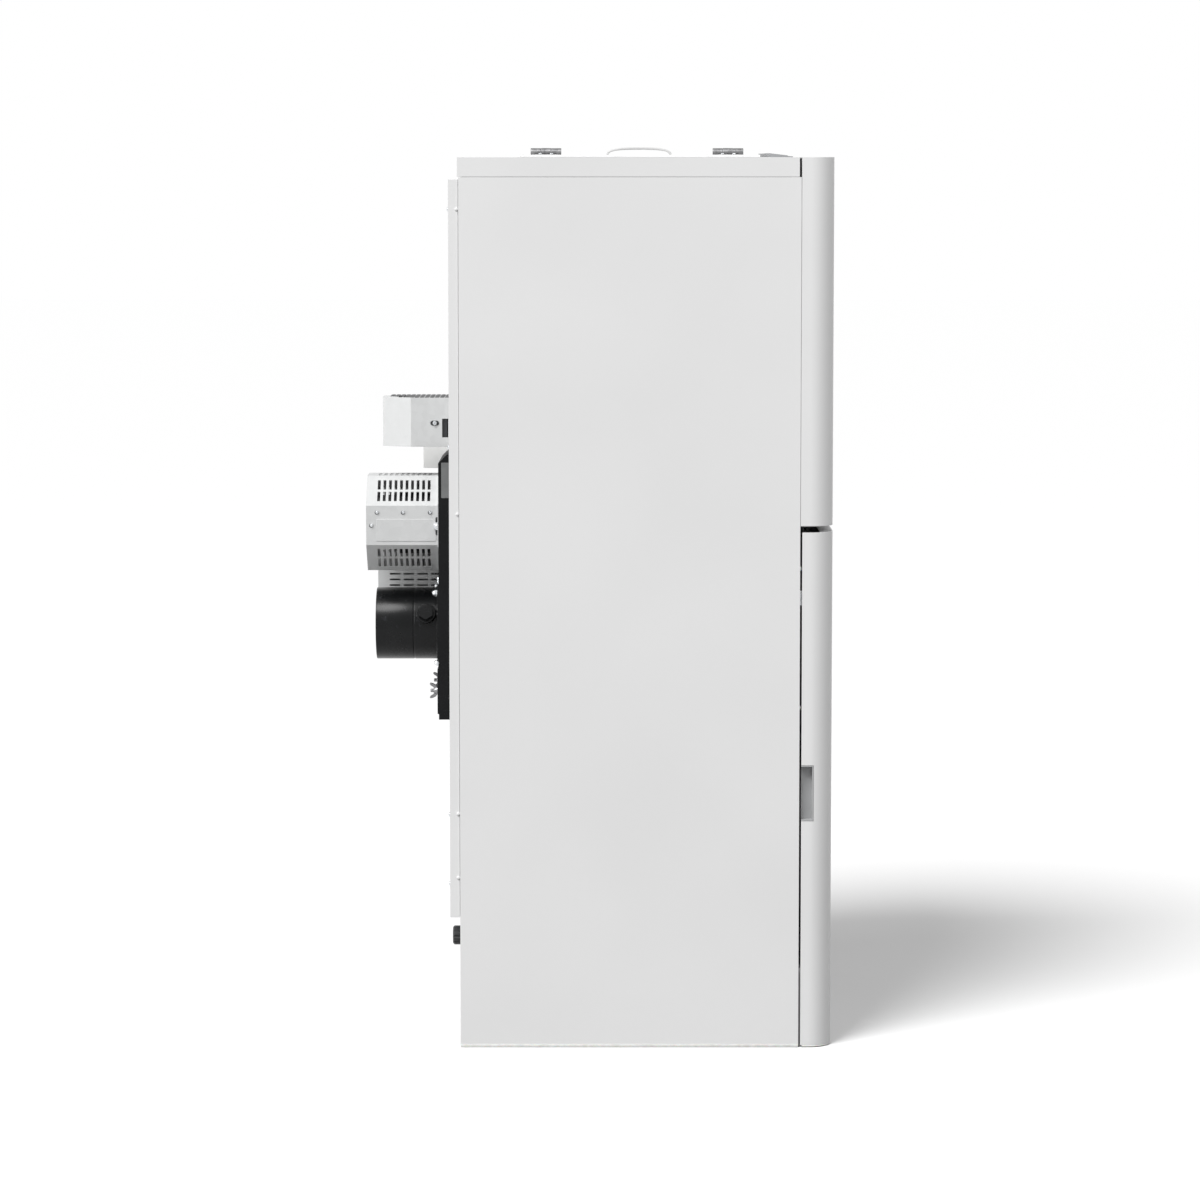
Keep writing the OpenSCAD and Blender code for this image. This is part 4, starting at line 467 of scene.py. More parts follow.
def addObject(name, data):
    thing = bpy.data.objects.new(name, data)
    bpy.context.scene.collection.objects.link(thing)
    return thing


def addMesh(name, mesh, finish):
    data = bpy.data.meshes.new(name)
    mesh.to_mesh(data)
    mesh.free()
    data.materials.append(finish)
    return addObject(name, data)


# Scale to metres, link, dress and hang on its body; edges sharper than the crisp angle stay crisp
def addPiece(name, mesh, body, slot, bevel=0.0, segments=2, finish=None):
    bmesh.ops.recalc_face_normals(mesh, faces=mesh.faces)
    bmesh.ops.scale(mesh, vec=(mm, mm, mm), verts=mesh.verts)
    piece = addMesh(name, mesh, finishes[finish or slot])
    piece.data.shade_smooth()
    piece.data.set_sharp_from_angle(angle=crispAngle)
    if bevel:
        rounding = piece.modifiers.new("edges", "BEVEL")
        rounding.width = bevel * mm
        rounding.segments = segments
        rounding.limit_method = "ANGLE"
        rounding.angle_limit = bevelAngle
    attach(piece, body)
    return piece


# Fasteners, their shapes given as shares of the radius and height
screwShape = {"rounds": ((1.0, 0.3), (0.94, 0.68), (0.7, 1.0)), "sunk": 0.3, "arm": 0.3, "taper": 0.8,
              "depth": 0.35}


# A pan head with a cross recess
def panHead(mesh, place, radius, height, recess=0.5, look=screwShape):
    profile = [(radius * 0.98, -look["sunk"])] + [(radius * r, height * h) for r, h in look["rounds"]]
    rim = lathe(mesh, place, profile, smallSteps)[-1]
    long, short = radius * recess, radius * recess * look["arm"]
    arm = [(long, -short), (long, short), (short, short)]
    cross = [(x * c - y * s, x * s + y * c) for c, s in ((1, 0), (0, 1), (-1, 0), (0, -1)) for x, y in arm]
    mouth = ringOf(mesh, place, cross, height)
    deeper = [(x * look["taper"], y * look["taper"]) for x, y in cross]
    floor = ringOf(mesh, place, deeper, height * look["depth"])
    fillBetween(mesh, rim, mouth)
    bridge(mesh, mouth, floor)
    mesh.faces.new(floor)


starShape = {"washer": (0.95, 0.6), "points": 6, "waist": 0.66, "crown": (0.5, 0.42),
             "crownHigh": (0.7, 0.9), "steps": (28, 20)}


# A thumb bolt with six blunt points, over a washer
def starBolt(mesh, place, radius, height, look=starShape):
    (share, thick), (steps, crownSteps) = look["washer"], look["steps"]
    disc(mesh, place, radius * share, thick, steps)
    points = [(x, y) if k % 2 else (x * look["waist"], y * look["waist"])
              for k, (x, y) in enumerate(circle(2 * look["points"], radius))]
    prism(mesh, place, points, thick, height)
    (wide, narrow), (first, last) = look["crown"], look["crownHigh"]
    lathe(mesh, place, [(radius * wide, height), (radius * narrow, height + first), (0.0, height + last)],
          crownSteps)


nutShape = {"washer": ((1.1, 0.0), (1.1, 0.5), (0.98, 0.7)), "washerThick": 0.5, "chamfer": (0.9, 0.4),
            "dome": 0.84, "domeSunk": 0.3, "domeStep": 15}


# A hexagon cap nut over a washer
def capNut(mesh, place, radius, height, cap, look=nutShape):
    lathe(mesh, place, [(0.0, 0.0)] + [(radius * r, z) for r, z in look["washer"]])
    share, drop = look["chamfer"]
    lathe(mesh, place, [(radius, look["washerThick"]), (radius, height - drop), (radius * share, height),
                        (0.0, height)], hexagon)
    base = height - look["domeSunk"]
    angles = [math.radians(a) for a in range(0, 90, look["domeStep"])]
    dome = [(radius * look["dome"] * math.cos(a), base + cap * math.sin(a)) for a in angles]
    lathe(mesh, place, dome + [(0.0, base + cap)], smallSteps)


patchSunk = 0.2


# A thin patch of sheet on a wall that faces the low-X side
def sheetPatch(mesh, x, thick, span, rise, radius=1.5):
    (y, wide), (z, high) = centreAndHalf(*span), centreAndHalf(*rise)
    prism(mesh, standOn((x, y, z), toSide), roundedBox((wide, high), radius), -patchSunk, thick)


# Details behind the casing, on the smoke side

guardLook = {
    "lip": 6.0,
    "plateThick": 0.7,
    "plateSpan": (221.5, 304.2),
    "plateRise": (671.0, 701.6),
    "screwSpots": ((303.0, 711.3), (266.9, 711.3), (229.5, 711.3), (310.7, 693.2)),
    "screwHead": (2.3, 1.6, 0.3),
    "shadowRingRadius": 2.7,
    "washerThick": 0.35,
    "shadowRingShift": 0.5,
    "sunk": 0.4,
    "turn": 20,
    "earSpot": (220.2, 692.0),
    "earSlot": (12.5, 2.0),
    "earCorner": 1.8,
    "earSlotThick": 0.15,
    "star": (5.6, 3.4),
    "starTurn": 12,
}


# The octagonal guard closes with a lapped plate, held by small screws, and hangs by a slotted ear
def makeGuardDetails(look):
    flat = boxOf("fan_guard")[0][0] + look["lip"]
    plate, screws, rings, slot, star = [bmesh.new() for k in range(5)]
    sheetPatch(plate, flat, look["plateThick"], look["plateSpan"], look["plateRise"])
    addPiece("fanGuardLap", plate, "casing", "galvanised_sheet", 0.25)
    # The black rings under the screw heads are painted shadow: thin black discs set a little low and towards
    # the rear of each head
    wide, thick, shift = look["shadowRingRadius"], look["washerThick"], look["shadowRingShift"]
    for y, z in look["screwSpots"]:
        panHead(screws, standOn((flat - look["sunk"], y, z), toSide, look["turn"] + y), *look["screwHead"])
        disc(rings, standOn((flat, y + shift, z - shift), toSide), wide, thick, smallSteps)
    addPiece("fanGuardScrews", screws, "casing", "zinc_plate")
    addPiece("fanGuardScrewShadows", rings, "casing", "black_plastic")
    y, z = look["earSpot"]
    long, wide = look["earSlot"]
    ear = flat - look["plateThick"]
    sheetPatch(slot, ear, look["earSlotThick"], (y - wide, y + wide), (z - long, z + long), look["earCorner"])
    addPiece("fanGuardEarSlot", slot, "casing", "black_plastic")
    starBolt(star, standOn((ear + look["sunk"], y, z), toSide, look["starTurn"]), *look["star"])
    addPiece("fanGuardEarScrew", star, "casing", "zinc_plate")


hoodLook = {"slotSpot": (223.9, 833.0), "grommet": (6.0, 3.4), "ends": 0.98, "rubber": 0.6,
            "head": (3.1, 2.6), "sunk": 0.5, "turn": 15}


# The hood of the cleaning drive is held by a screw in an oval rubber grommet
def makeHoodScrew(look):
    wall = boxOf("cleaning_cover")[0][0]
    y, z = look["slotSpot"]
    long, high = look["grommet"]
    rubber, screw = bmesh.new(), bmesh.new()
    sheetPatch(rubber, wall, look["rubber"], (y - long, y + long), (z - high, z + high),
               high * look["ends"])
    addPiece("hoodGrommet", rubber, "casing", "black_plastic", 0.25)
    panHead(screw, standOn((wall - look["sunk"], y, z), toSide, look["turn"]), *look["head"])
    addPiece("hoodScrew", screw, "casing", "zinc_plate")


flangeLook = {
    "nutAcross": 47.0,
    "nut": (5.2, 4.3, 3.6),
    "turns": (12, 40),
    "lowNutRise": -50.5,
    "lowNutShare": 0.85,
    "boxBolts": ((-77.0, 613.0, 3.4), (17.0, 613.0, 3.4), (-84.0, 617.5, 2.6), (24.0, 617.5, 2.6)),
    "boltHigh": 3.0,
    "flangeThick": 3.0,
    "axis": (-30.0, 550.0),
}


# Cap nuts of the flue spigot, two on its flange and two on the box under it, and four box screws
def makeFlangeNuts(look):
    back = boxOf("smoke_box")[1][1]
    x0, z0 = look["axis"]
    radius, high, cap = look["nut"]
    turn, lowTurn = look["turns"]
    mesh = bmesh.new()
    for side in (-1, 1):
        x = x0 + side * look["nutAcross"]
        place = standOn((x, back + look["flangeThick"], z0 + look["nutAcross"]), toRear, turn * side)
        capNut(mesh, place, radius, high, cap)
        place = standOn((x, back, z0 + look["lowNutRise"]), toRear, lowTurn * side)
        capNut(mesh, place, radius * look["lowNutShare"], high, cap)
    for x, z, r in look["boxBolts"]:
        panHead(mesh, standOn((x, back, z), toRear, x), r, look["boltHigh"])
    addPiece("flueFlangeNuts", mesh, "casing", "zinc_plate", 0.15)


hatchLook = {
    "sheet": 1.5,
    "hem": 3.0,
    "hemRise": 0.8,
    "hemSlope": 1.5,
    "corner": 5.0,
    "leastCorner": 0.6,
    "studAcross": 58.0,
    "studRadius": 2.4,
    "studLong": 11.0,
    "studEnd": 0.6,
    "studSunk": 1.0,
    "studSteps": 20,
    "turn": 8,
    "hub": ((2.5, 0.0), (5.6, 0.0), (5.6, 1.6), (3.9, 5.6), (3.6, 6.6), (2.5, 6.6)),
    "wing": ((2.6, 1.6), (5.0, 1.2), (8.4, 3.6), (10.6, 7.6), (11.3, 11.0), (9.6, 12.2), (7.3, 10.6),
             (5.4, 7.4), (3.6, 6.0), (2.6, 6.0)),
    "wingThick": 2.2,
}


# The inspection hatch under the flue: a black pressed cover with a hemmed edge, held by two wing nuts
def makeInspectionHatch(look):
    low, high = boxOf("inspection_cover")
    back = low[1]
    (x, wide), (z, tall) = centreAndHalf(low[0], high[0]), centreAndHalf(low[2], high[2])
    cover, nuts = bmesh.new(), bmesh.new()
    place = standOn((x, back, z), toRear)
    hem, top = look["hem"], look["sheet"] + look["hemRise"]
    rings = []
    for inset, rise in ((0.0, 0.0), (0.0, top), (hem, top), (hem + look["hemSlope"], look["sheet"])):
        outline = roundedBox((wide - inset, tall - inset), max(look["corner"] - inset, look["leastCorner"]))
        rings.append(ringOf(cover, place, outline, rise))
    cover.faces.new(rings[0])
    cover.faces.new(rings[-1])
    for lower, upper in zip(rings, rings[1:]):
        bridge(cover, lower, upper)
    hatch = addPiece("inspectionHatch", cover, "casing", "heat_paint", 0.3)
    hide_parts("inspection_cover")
    r, long, end = look["studRadius"], look["studLong"], look["studEnd"]
    for side in (-1, 1):
        place = standOn((x + side * look["studAcross"], back + look["sheet"], z), toRear,
                        90 + look["turn"] * side)
        lathe(nuts, place, look["hub"], smallSteps)
        lathe(nuts, place, [(r, -look["studSunk"]), (r, long - end), (r - end, long), (0.0, long)],
              look["studSteps"])
        for way in (0, 180):
            turned = Matrix.Rotation(math.radians(way), 4, "Z") @ Matrix.Rotation(math.radians(90), 4, "X")
            prism(nuts, place @ turned, look["wing"], -look["wingThick"] / 2, look["wingThick"] / 2)
    addPiece("hatchWingNuts", nuts, "casing", "zinc_plate", 0.7, 3, "castZincPaintedShade")


sidePlateLook = {"span": (197.6, 213.6), "rise": (732.0, 781.0), "thick": 0.6}


# A bare steel stiffener on the smoke box's near side, between its top and the fan
def makeSmokeBoxPlate(look):
    side = boxOf("smoke_box")[0][0]
    mesh = bmesh.new()
    sheetPatch(mesh, side, look["thick"], look["span"], look["rise"], 1.0)
    addPiece("smokeBoxStiffener", mesh, "casing", "ash_steel", 0.2)


makeGuardDetails(guardLook)
makeHoodScrew(hoodLook)
makeFlangeNuts(flangeLook)
makeInspectionHatch(hatchLook)
makeSmokeBoxPlate(sidePlateLook)
print("rear details made")


# Seals and buffers

ropeLook = {
    "half": (4.4, 2.2),
    "strands": 8,
    "strandRadius": 1.15,
    "turnLong": 26.0,
    "stepLong": 1.6,
    "inset": 4.5,
    "corner": 9.0,
    "weave": 0.16,
}


# Places and directions at even steps round a closed outline
def walkAlong(points, count):
    lengths = [(points[(k + 1) % len(points)] - points[k]).length for k in range(len(points))]
    total = sum(lengths)
    stations = []
    k, walked = 0, 0.0
    for n in range(count):
        goal = total * n / count
        while walked + lengths[k] < goal:
            walked += lengths[k]
            k += 1
        along = (points[(k + 1) % len(points)] - points[k]).normalized()
        stations.append((points[k] + along * (goal - walked), along))
    return stations


# Braided glass rope in the firebox door: eight strands that cross over and under each other
def makeRopeSeal(look):
    low, high = boxOf("firebox_seal")
    points = [Vector((x, 0.0, z)) for x, z in loopInside(low, high, (0, 2), look["inset"], look["corner"], 8)]
    total = sum((points[k] - points[k - 1]).length for k in range(len(points)))
    turns = round(total / look["turnLong"])
    count = int(total / look["stepLong"])
    stations = walkAlong(points, count)
    middle = (low[1] + high[1]) / 2
    mesh = bmesh.new()
    wide, thick = [value - look["strandRadius"] for value in look["half"]]
    pairs = look["strands"] / 2
    for strand in range(look["strands"]):
        way = 1 if strand % 2 else -1
        path = []
        for n, (spot, along) in enumerate(stations):
            wound = math.tau * turns * n / count
            angle = way * wound + math.tau * (strand // 2) / pairs
            weave = 1.0 + look["weave"] * way * math.cos(2 * pairs * wound)
            outward = along.cross(Vector((0, 1, 0)))
            path.append(spot + outward * (wide * weave * math.cos(angle))
                        + Vector((0, middle + thick * weave * math.sin(angle), 0)))
        sweep(mesh, path, look["strandRadius"], 6, True)
    rope = addPiece("ropeSeal", mesh, "firebox_door", "glass_rope")
    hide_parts("firebox_seal")


siliconeLook = {
    "ringInset": (21.0, 11.0),
    "ringWide": 6.0,
    "lipHigh": 3.0,
    "baseHigh": (0.9, 1.2),
    "corner": 7.0,
    "leastCorner": 0.8,
    "bufferRadius": 4.0,
    "bufferDeep": 2.3,
    "bufferFlange": 0.6,
    "bufferX": -274.5,
    "bufferRises": (462.8, 650.8),
    "doorEdge": -275.8,
}


# White silicone: a seal with a raised lip on the hopper's rim, and two buffers behind the door's edge
def makeSiliconeParts(look):
    low, high = boxOf("hopper_bin")
    insetX, insetY = look["ringInset"]
    y, halfY = centreAndHalf(low[1], high[1])
    wide, lip = look["ringWide"], look["lipHigh"]
    edge, root = look["baseHigh"]
    section = [(0.0, 0.0), (0.0, edge), (wide * 0.3, root), (wide * 0.36, lip * 0.8), (wide * 0.5, lip),
               (wide * 0.64, lip * 0.8), (wide * 0.7, root), (wide, edge), (wide, 0.0)]
    mesh = bmesh.new()
    rings = []
    for inset, rise in section:
        outline = roundedBox((high[0] - insetX - inset, halfY - insetY - inset),
                             max(look["corner"] - inset, look["leastCorner"]), 6)
        rings.append(ringOf(mesh, Matrix.Translation((0, y, high[2])), outline, rise))
    for lower, upper in zip(rings, rings[1:] + rings[:1]):
        bridge(mesh, lower, upper)
    r, deep, flange = look["bufferRadius"], look["bufferDeep"], look["bufferFlange"]
    for rise in look["bufferRises"]:
        place = standOn((look["bufferX"], look["doorEdge"] + deep, rise), toFront)
        lathe(mesh, place, [(0.0, 0.0), (r, 0.0), (r, flange), (r * 0.82, flange * 1.6),
                            (r * 0.7, deep * 0.8), (r * 0.4, deep), (0.0, deep)], smallSteps)
    parts = addPiece("siliconeParts", mesh, "casing", "white_silicone", 0.15)
    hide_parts("silicone_parts")


makeRopeSeal(ropeLook)
makeSiliconeParts(siliconeLook)
print("seals and buffers made")


# Details of the top: the lid's bow, its hinges and the control console

topZ = 1200.0
bowLook = {"x": -110.0, "wide": 14.0, "thick": 3.3, "high": 10.2, "square": 2.7, "steps": 40}


# The bow handle: a pressed strap in one smooth arch, sprayed like the casing, in a darker copy of its powder
# that is painted shade
def makeLidBow(look):
    low, high = boxOf("lid_handle")
    middle, half = centreAndHalf(low[1], high[1])
    power = 2 / look["square"]
    outline = []
    for inset, way in ((0.0, 1), (look["thick"], -1)):
        for k in range(look["steps"] + 1):
            angle = math.pi * (k if way > 0 else look["steps"] - k) / look["steps"]
            across, up = math.cos(angle), math.sin(angle)
            outline.append(((half - inset) * math.copysign(abs(across) ** power, across),
                            (look["high"] - inset) * up ** power))
    mesh = bmesh.new()
    prism(mesh, fromSide((look["x"], middle, low[2])), outline, -look["wide"] / 2, look["wide"] / 2)
    bow = addPiece("lidBow", mesh, "hopper_lid", "powder_coat_light", 1.1, 3, "bowPowderPaintedShade")
    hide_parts("lid_handle")


hingeLook = {
    "pivot": (185.0, 1207.0),
    "middles": (-189.5, 72.5),
    "half": 22.0,
    "knuckle": 7.5,
    "gap": 0.15,
    "barrel": 6.4,
    "sleeve": 6.6,
    "round": 0.3,
    "leaf": (7.5, 22.0),
    "leafThick": 2.0,
    "cheek": (0.5, 9.0),
    "cheekThick": 5.5,
    "lidLeaf": (-22.0, -6.6),
    "lidLeafHalf": 15.0,
    "lidTop": 1203.5,
    "lidLeafThick": 1.4,
    "leafCorner": 2.5,
    "screwAcross": 15.5,
    "screwAlong": 15.0,
    "lidScrewShare": 0.55,
    "screw": (3.0, 1.5),
    "lidScrew": (2.7, 1.4),
    "turns": (25, 40),
}


# Die-cast lid hinges: fixed knuckles and leaves on the top cover, and the lid's own between them
def makeLidHinges(look):
    x, z = look["pivot"]
    fixed, moving, screws, lidScrews = [bmesh.new() for k in range(4)]

    def knuckle(mesh, start, end, r):
        long, edge = end - start, look["round"]
        lathe(mesh, standOn((x, start, z), toRear),
              [(0.0, 0.0), (r - edge, 0.0), (r, edge), (r, long - edge), (r - edge, long), (0.0, long)])

    def leaf(mesh, span, start, end, base, thick):
        (middleX, halfX), (middleY, halfY) = centreAndHalf(*span), centreAndHalf(start, end)
        place = Matrix.Translation((x + middleX, middleY, base))
        prism(mesh, place, roundedBox((halfX, halfY), look["leafCorner"]), 0.0, thick)

    def screw(mesh, across, along, base, turn, head):
        panHead(mesh, standOn((x + across, along, base), upward, turn), *head)

    across, (turn, lidTurn) = look["screwAcross"], look["turns"]
    for middle in look["middles"]:
        for side in (-1, 1):
            ends = sorted((middle + side * look["knuckle"], middle + side * look["half"]))
            knuckle(fixed, *ends, look["barrel"])
            leaf(fixed, look["cheek"], *ends, topZ, look["cheekThick"])
            screw(screws, across, middle + side * look["screwAlong"], topZ + look["leafThick"], turn * side,
                  look["screw"])
            screw(lidScrews, -across, middle + side * look["screwAlong"] * look["lidScrewShare"],
                  look["lidTop"] + look["lidLeafThick"], lidTurn * side, look["lidScrew"])
        leaf(fixed, look["leaf"], middle - look["half"], middle + look["half"], topZ, look["leafThick"])
        half = look["knuckle"] - look["gap"]
        knuckle(moving, middle - half, middle + half, look["sleeve"])
        half = look["lidLeafHalf"]
        leaf(moving, look["lidLeaf"], middle - half, middle + half, look["lidTop"], look["lidLeafThick"])
    hinges = addPiece("lidHinges", fixed, "casing", "zinc_plate", 0.3, 2, "castZincPaintedShade")
    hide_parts("lid_hinge_bases")
    addPiece("lidHingeLeaves", moving, "hopper_lid", "zinc_plate", 0.3, 2, "castZincPaintedShade")
    addPiece("lidHingeScrews", screws, "casing", "zinc_plate")
    addPiece("lidLeafScrews", lidScrews, "hopper_lid", "zinc_plate")


consoleLook = {
    "front": (-268.0, 1.0),
    "rear": (-232.0, 5.4),
    "half": 150.0,
    "corner": 4.0,
    "window": (-50.0, 45.0, 11.0),
    "windowCorner": 2.5,
    "windowRise": (-0.4, 0.5),
    "bezelWide": 1.6,
    "bezelCorner": 3.5,
    "bezelRise": 0.3,
    "bezel": 0.7,
    "buttonAcross": (50.0, 24.0),
    "buttonAlong": 6.0,
    "buttonRadius": 5.5,
    "dome": ((0.0, -1.5), (1.0, -1.5), (1.0, 0.9), (0.93, 1.35), (0.8, 1.5), (0.55, 1.3), (0.25, 1.2),
             (0.0, 1.18)),
    "wellRadius": 5.85,
    "wellDeep": 3.2,
    "ringRadius": 6.6,
    "ringRise": 0.1,
    "ring": 0.6,
    "steps": 40,
}


# The control console: a low moulded wedge with a window, three domed buttons and their raised rings
def makeConsole(look):
    (y0, low), (y1, high) = look["front"], look["rear"]
    middle, half = centreAndHalf(y0, y1)
    lean = math.atan((high - low) / (y1 - y0))
    place = Matrix.Translation((0, middle, topZ + (low + high) / 2)) @ Matrix.Rotation(lean, 4, "X")
    wedge, window, trim = [bmesh.new() for k in range(3)]
    outline = roundedBox((look["half"], half), look["corner"])
    bottom = [wedge.verts.new((x, middle + y, topZ)) for x, y in outline]
    top = [wedge.verts.new((x, middle + y, topZ + low + (high - low) * (y + half) / (2 * half)))
           for x, y in outline]
    wedge.faces.new(bottom)
    start, pitch = look["buttonAcross"]
    spots = [place @ Matrix.Translation((start + k * pitch, look["buttonAlong"], 0)) for k in range(3)]
    well = circle(look["steps"], look["wellRadius"])
    mouths = [ringOf(wedge, spot, well, 0.0) for spot in spots]
    for spot, mouth in zip(spots, mouths):
        floor = ringOf(wedge, spot, well, -look["wellDeep"])
        wedge.faces.new(floor)
        bridge(wedge, mouth, floor)
    fillBetween(wedge, top, *mouths)
    bridge(wedge, bottom, top)
    body = addPiece("consoleWedge", wedge, "casing", "grey_plastic", 0.6, 3, "consolePlastic")
    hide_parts("console")
    x, halfX, halfY = look["window"]
    prism(window, place @ Matrix.Translation((x, 0, 0)),
          roundedBox((halfX, halfY), look["windowCorner"]), *look["windowRise"])
    glass = addPiece("displayWindow", window, "casing", "display_glass", 0.25, 2)
    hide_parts("display")
    wide = look["bezelWide"]
    bezel = roundedBox((halfX + wide, halfY + wide), look["bezelCorner"], centre=(x, 0))
    sweep(trim, [place @ Vector((px, py, look["bezelRise"])) for px, py in bezel], look["bezel"], 8, True)
    r = look["buttonRadius"]
    profile = [(r * share, z) for share, z in look["dome"]]
    for k, spot in enumerate(spots):
        sweep(trim, [spot @ Vector((px, py, look["ringRise"]))
                     for px, py in circle(look["steps"], look["ringRadius"])], look["ring"], 8, True)
        cap = bmesh.new()
        lathe(cap, spot, profile, look["steps"])
        button = addPiece("buttonCap%d" % (k + 1), cap, "button_%d" % (k + 1), "grey_plastic")
        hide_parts("button_%d" % (k + 1))
    addPiece("consoleTrim", trim, "casing", "grey_plastic", 0.0, 2, "consolePlastic")


makeLidBow(bowLook)
makeLidHinges(hingeLook)
makeConsole(consoleLook)
print("top details made")


# Details of the smoke side and the casing's rear edge

flueLook = {
    "axis": (-30.0, 550.0),
    "span": (217.8, 306.8),
    "radius": 50.0,
    "wall": 2.0,
    "seamAt": 36.0,
    "seamSunk": 0.45,
    "seamHalf": (0.7, 1.2),
    "lip": (0.4, 0.8),
    "flangeThick": 3.0,
    "flangeHalf": 56.0,
    "flangeLow": -49.0,
    "flangeReach": 72.8,
    "bossAt": 18.7,
    "bossTurn": -69.0,
    "bossRadius": 14.0,
    "bossBore": 9.2,
    "bossRoot": 3.0,
    "bossOut": 4.0,
    "bossEdge": 0.8,
    "weld": 2.2,
    "weldRipples": 40,
    "weldSteps": 160,
    "weldSides": 10,
    "steps": {"tube": 128, "flange": 72, "bore": 96, "boss": 48},
}


# The flue spigot: rolled tube with a folded seam, welded to its flange, with a welded test boss
def makeFlueSpigot(look):
    x0, z0 = look["axis"]
    start, end = look["span"]
    long, r, bore = end - start, look["radius"], look["radius"] - look["wall"]
    seam, (fold, lead), (lip, run) = look["seamAt"], look["seamHalf"], look["lip"]
    sunk, count = r - look["seamSunk"], look["steps"]
    place = standOn((x0, start, z0), toRear)
    tube, welds = bmesh.new(), bmesh.new()
    lathe(tube, place, [(r, 0.0), (r, seam - lead), (sunk, seam - fold), (sunk, seam + fold),
                        (r, seam + lead), (r, long - run), (r - lip, long), (bore + lip, long),
                        (bore, long - run), (bore, 0.0), (r, 0.0)], count["tube"])
    bmesh.ops.remove_doubles(tube, verts=tube.verts, dist=0.01)
    half, low = look["flangeHalf"], look["flangeLow"]
    cut = [(max(-half, min(half, x)), max(low, min(half, z)))
           for x, z in circle(count["flange"], look["flangeReach"])]
    cut = list(dict.fromkeys(cut))
    flip = Matrix.Rotation(math.pi / 2, 4, "X") @ Matrix.Scale(-1, 4, (0, 0, 1))
    flat = Matrix.Translation((x0, start, z0)) @ flip
    levels = []
    for level in (0.0, look["flangeThick"]):
        rings = ringOf(tube, flat, cut, level), ringOf(tube, flat, circle(count["bore"], bore), level)
        fillBetween(tube, *rings)
        levels.append(rings)
    for lower, upper in zip(*levels):
        bridge(tube, lower, upper)
    angle = math.radians(look["bossTurn"])
    outward = Vector((math.sin(angle), 0.0, math.cos(angle)))
    root = Vector((x0, start + look["bossAt"], z0)) + outward * (r - look["bossRoot"])
    boss, hole, edge = look["bossRadius"], look["bossBore"], look["bossEdge"]
    high = look["bossRoot"] + look["bossOut"]
    lathe(tube, standOn(root, outward), [(hole, 0.0), (boss, 0.0), (boss, high - edge), (boss - edge, high),
                                         (hole, high), (hole, 0.0)], count["boss"])
    steps, sides = look["weldSteps"], look["weldSides"]
    ring = [place @ Vector((x, y, look["flangeThick"])) for x, y in circle(steps, r)]
    sweep(welds, ring, look["weld"], sides, True)
    for n, vertex in enumerate(welds.verts):
        middle = ring[n // sides]
        swell = 0.85 + 0.15 * math.cos(math.tau * look["weldRipples"] * (n // sides) / steps)
        vertex.co = middle + (vertex.co - middle) * swell
    spigot = addPiece("flueSpigot", tube, "casing", "heat_paint", 0.25)
    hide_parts("flue_spigot")
    addPiece("flueWeld", welds, "casing", "heat_paint")


rivetLook = {"x": 279.3, "y": 185.4, "rises": (1131.0, 724.0, 319.0, 232.0), "radius": 2.3, "head": 1.3,
             "sunk": 0.4, "straight": 0.35}


# Small sprayed rivets along the casing's rear edges
def makeEdgeRivets(look):
    mesh = bmesh.new()
    r, high, sunk = look["radius"], look["head"], look["sunk"]
    for side in (-1, 1):
        for z in look["rises"]:
            lathe(mesh, standOn((side * look["x"], look["y"], z), (side, 0, 0)),
                  [(0.0, -sunk), (r, -sunk), (r, look["straight"]), (r * 0.86, high * 0.7),
                   (r * 0.5, high * 0.95), (0.0, high)], smallSteps)
    addPiece("edgeRivets", mesh, "casing", "powder_coat_light")


ventLook = {
    "span": (204.0, 288.0),
    "across": (-62.0, 8.0),
    "top": 868.0,
    "slats": 12,
    "slatHigh": 0.7,
    "slatEdge": 0.4,
    "slatLift": 0.05,
    "cutFrom": 256.0,
}


# A louvred tray on top of the hood: slats across it, cut along the chamfer. The slats are black as painted
# shade, standing in for the shade under the louvres
def makeHoodLouvre(look):
    mesh = bmesh.new()
    y0, y1 = look["span"]
    x0, x1 = look["across"]
    lift, edge, top = look["slatLift"], look["slatEdge"], look["slatHigh"]
    pitch = (y1 - y0) / look["slats"]
    for k in range(look["slats"]):
        y = y0 + k * pitch
        outline = [(y, lift), (y + pitch * 0.86, lift), (y + pitch * 0.86, edge), (y + pitch * 0.55, top),
                   (y + pitch * 0.2, top), (y, edge)]
        prism(mesh, fromSide((0, 0, look["top"])), outline, x0 + max(0.0, y + pitch - look["cutFrom"]), x1)
    addPiece("hoodShadeLouvre", mesh, "casing", "black_plastic", 0.2)


makeFlueSpigot(flueLook)
makeEdgeRivets(rivetLook)
makeHoodLouvre(ventLook)
print("smoke side finished")


# Details inside the front: the door's liner, the fire door, the drawer and the water sockets

linerLook = {
    "inset": 34.0,
    "bead": 1.7,
    "beadSunk": 0.3,
    "corner": 16.0,
    "screwInset": 14.0,
    "screwRises": (60.0, 250.0, 450.0, 650.0),
    "screw": (3.4, 1.8),
}


# Pan heads in two columns, on a face towards the front or the rear
def screwColumns(name, columns, rises, face, outward, screw, body):
    mesh = bmesh.new()
    for x in columns:
        for z in rises:
            panHead(mesh, standOn((x, face, z), outward, z), *screw)
    addPiece(name, mesh, body, "zinc_plate")


# The door's liner is stiffened by a pressed bead and held by pan-head screws
def makeLinerDetails(look):
    low, high = boxOf("door_liner")
    edge = look["screwInset"]
    outline = loopInside(low, high, (0, 2), look["inset"], look["corner"], 6)
    bead = bmesh.new()
    sweep(bead, [Vector((x, high[1] - look["beadSunk"], z)) for x, z in outline], look["bead"], 10, True)
    addPiece("linerBead", bead, "lower_door", "insulated_pan")
    screwColumns("linerScrews", (low[0] + edge, high[0] - edge), look["screwRises"], high[1], toRear,
                 look["screw"], "lower_door")


plateLook = {"columns": (-262.0, 262.0), "rises": (44.0, 300.0, 500.0, 700.0), "screw": (3.6, 1.9)}


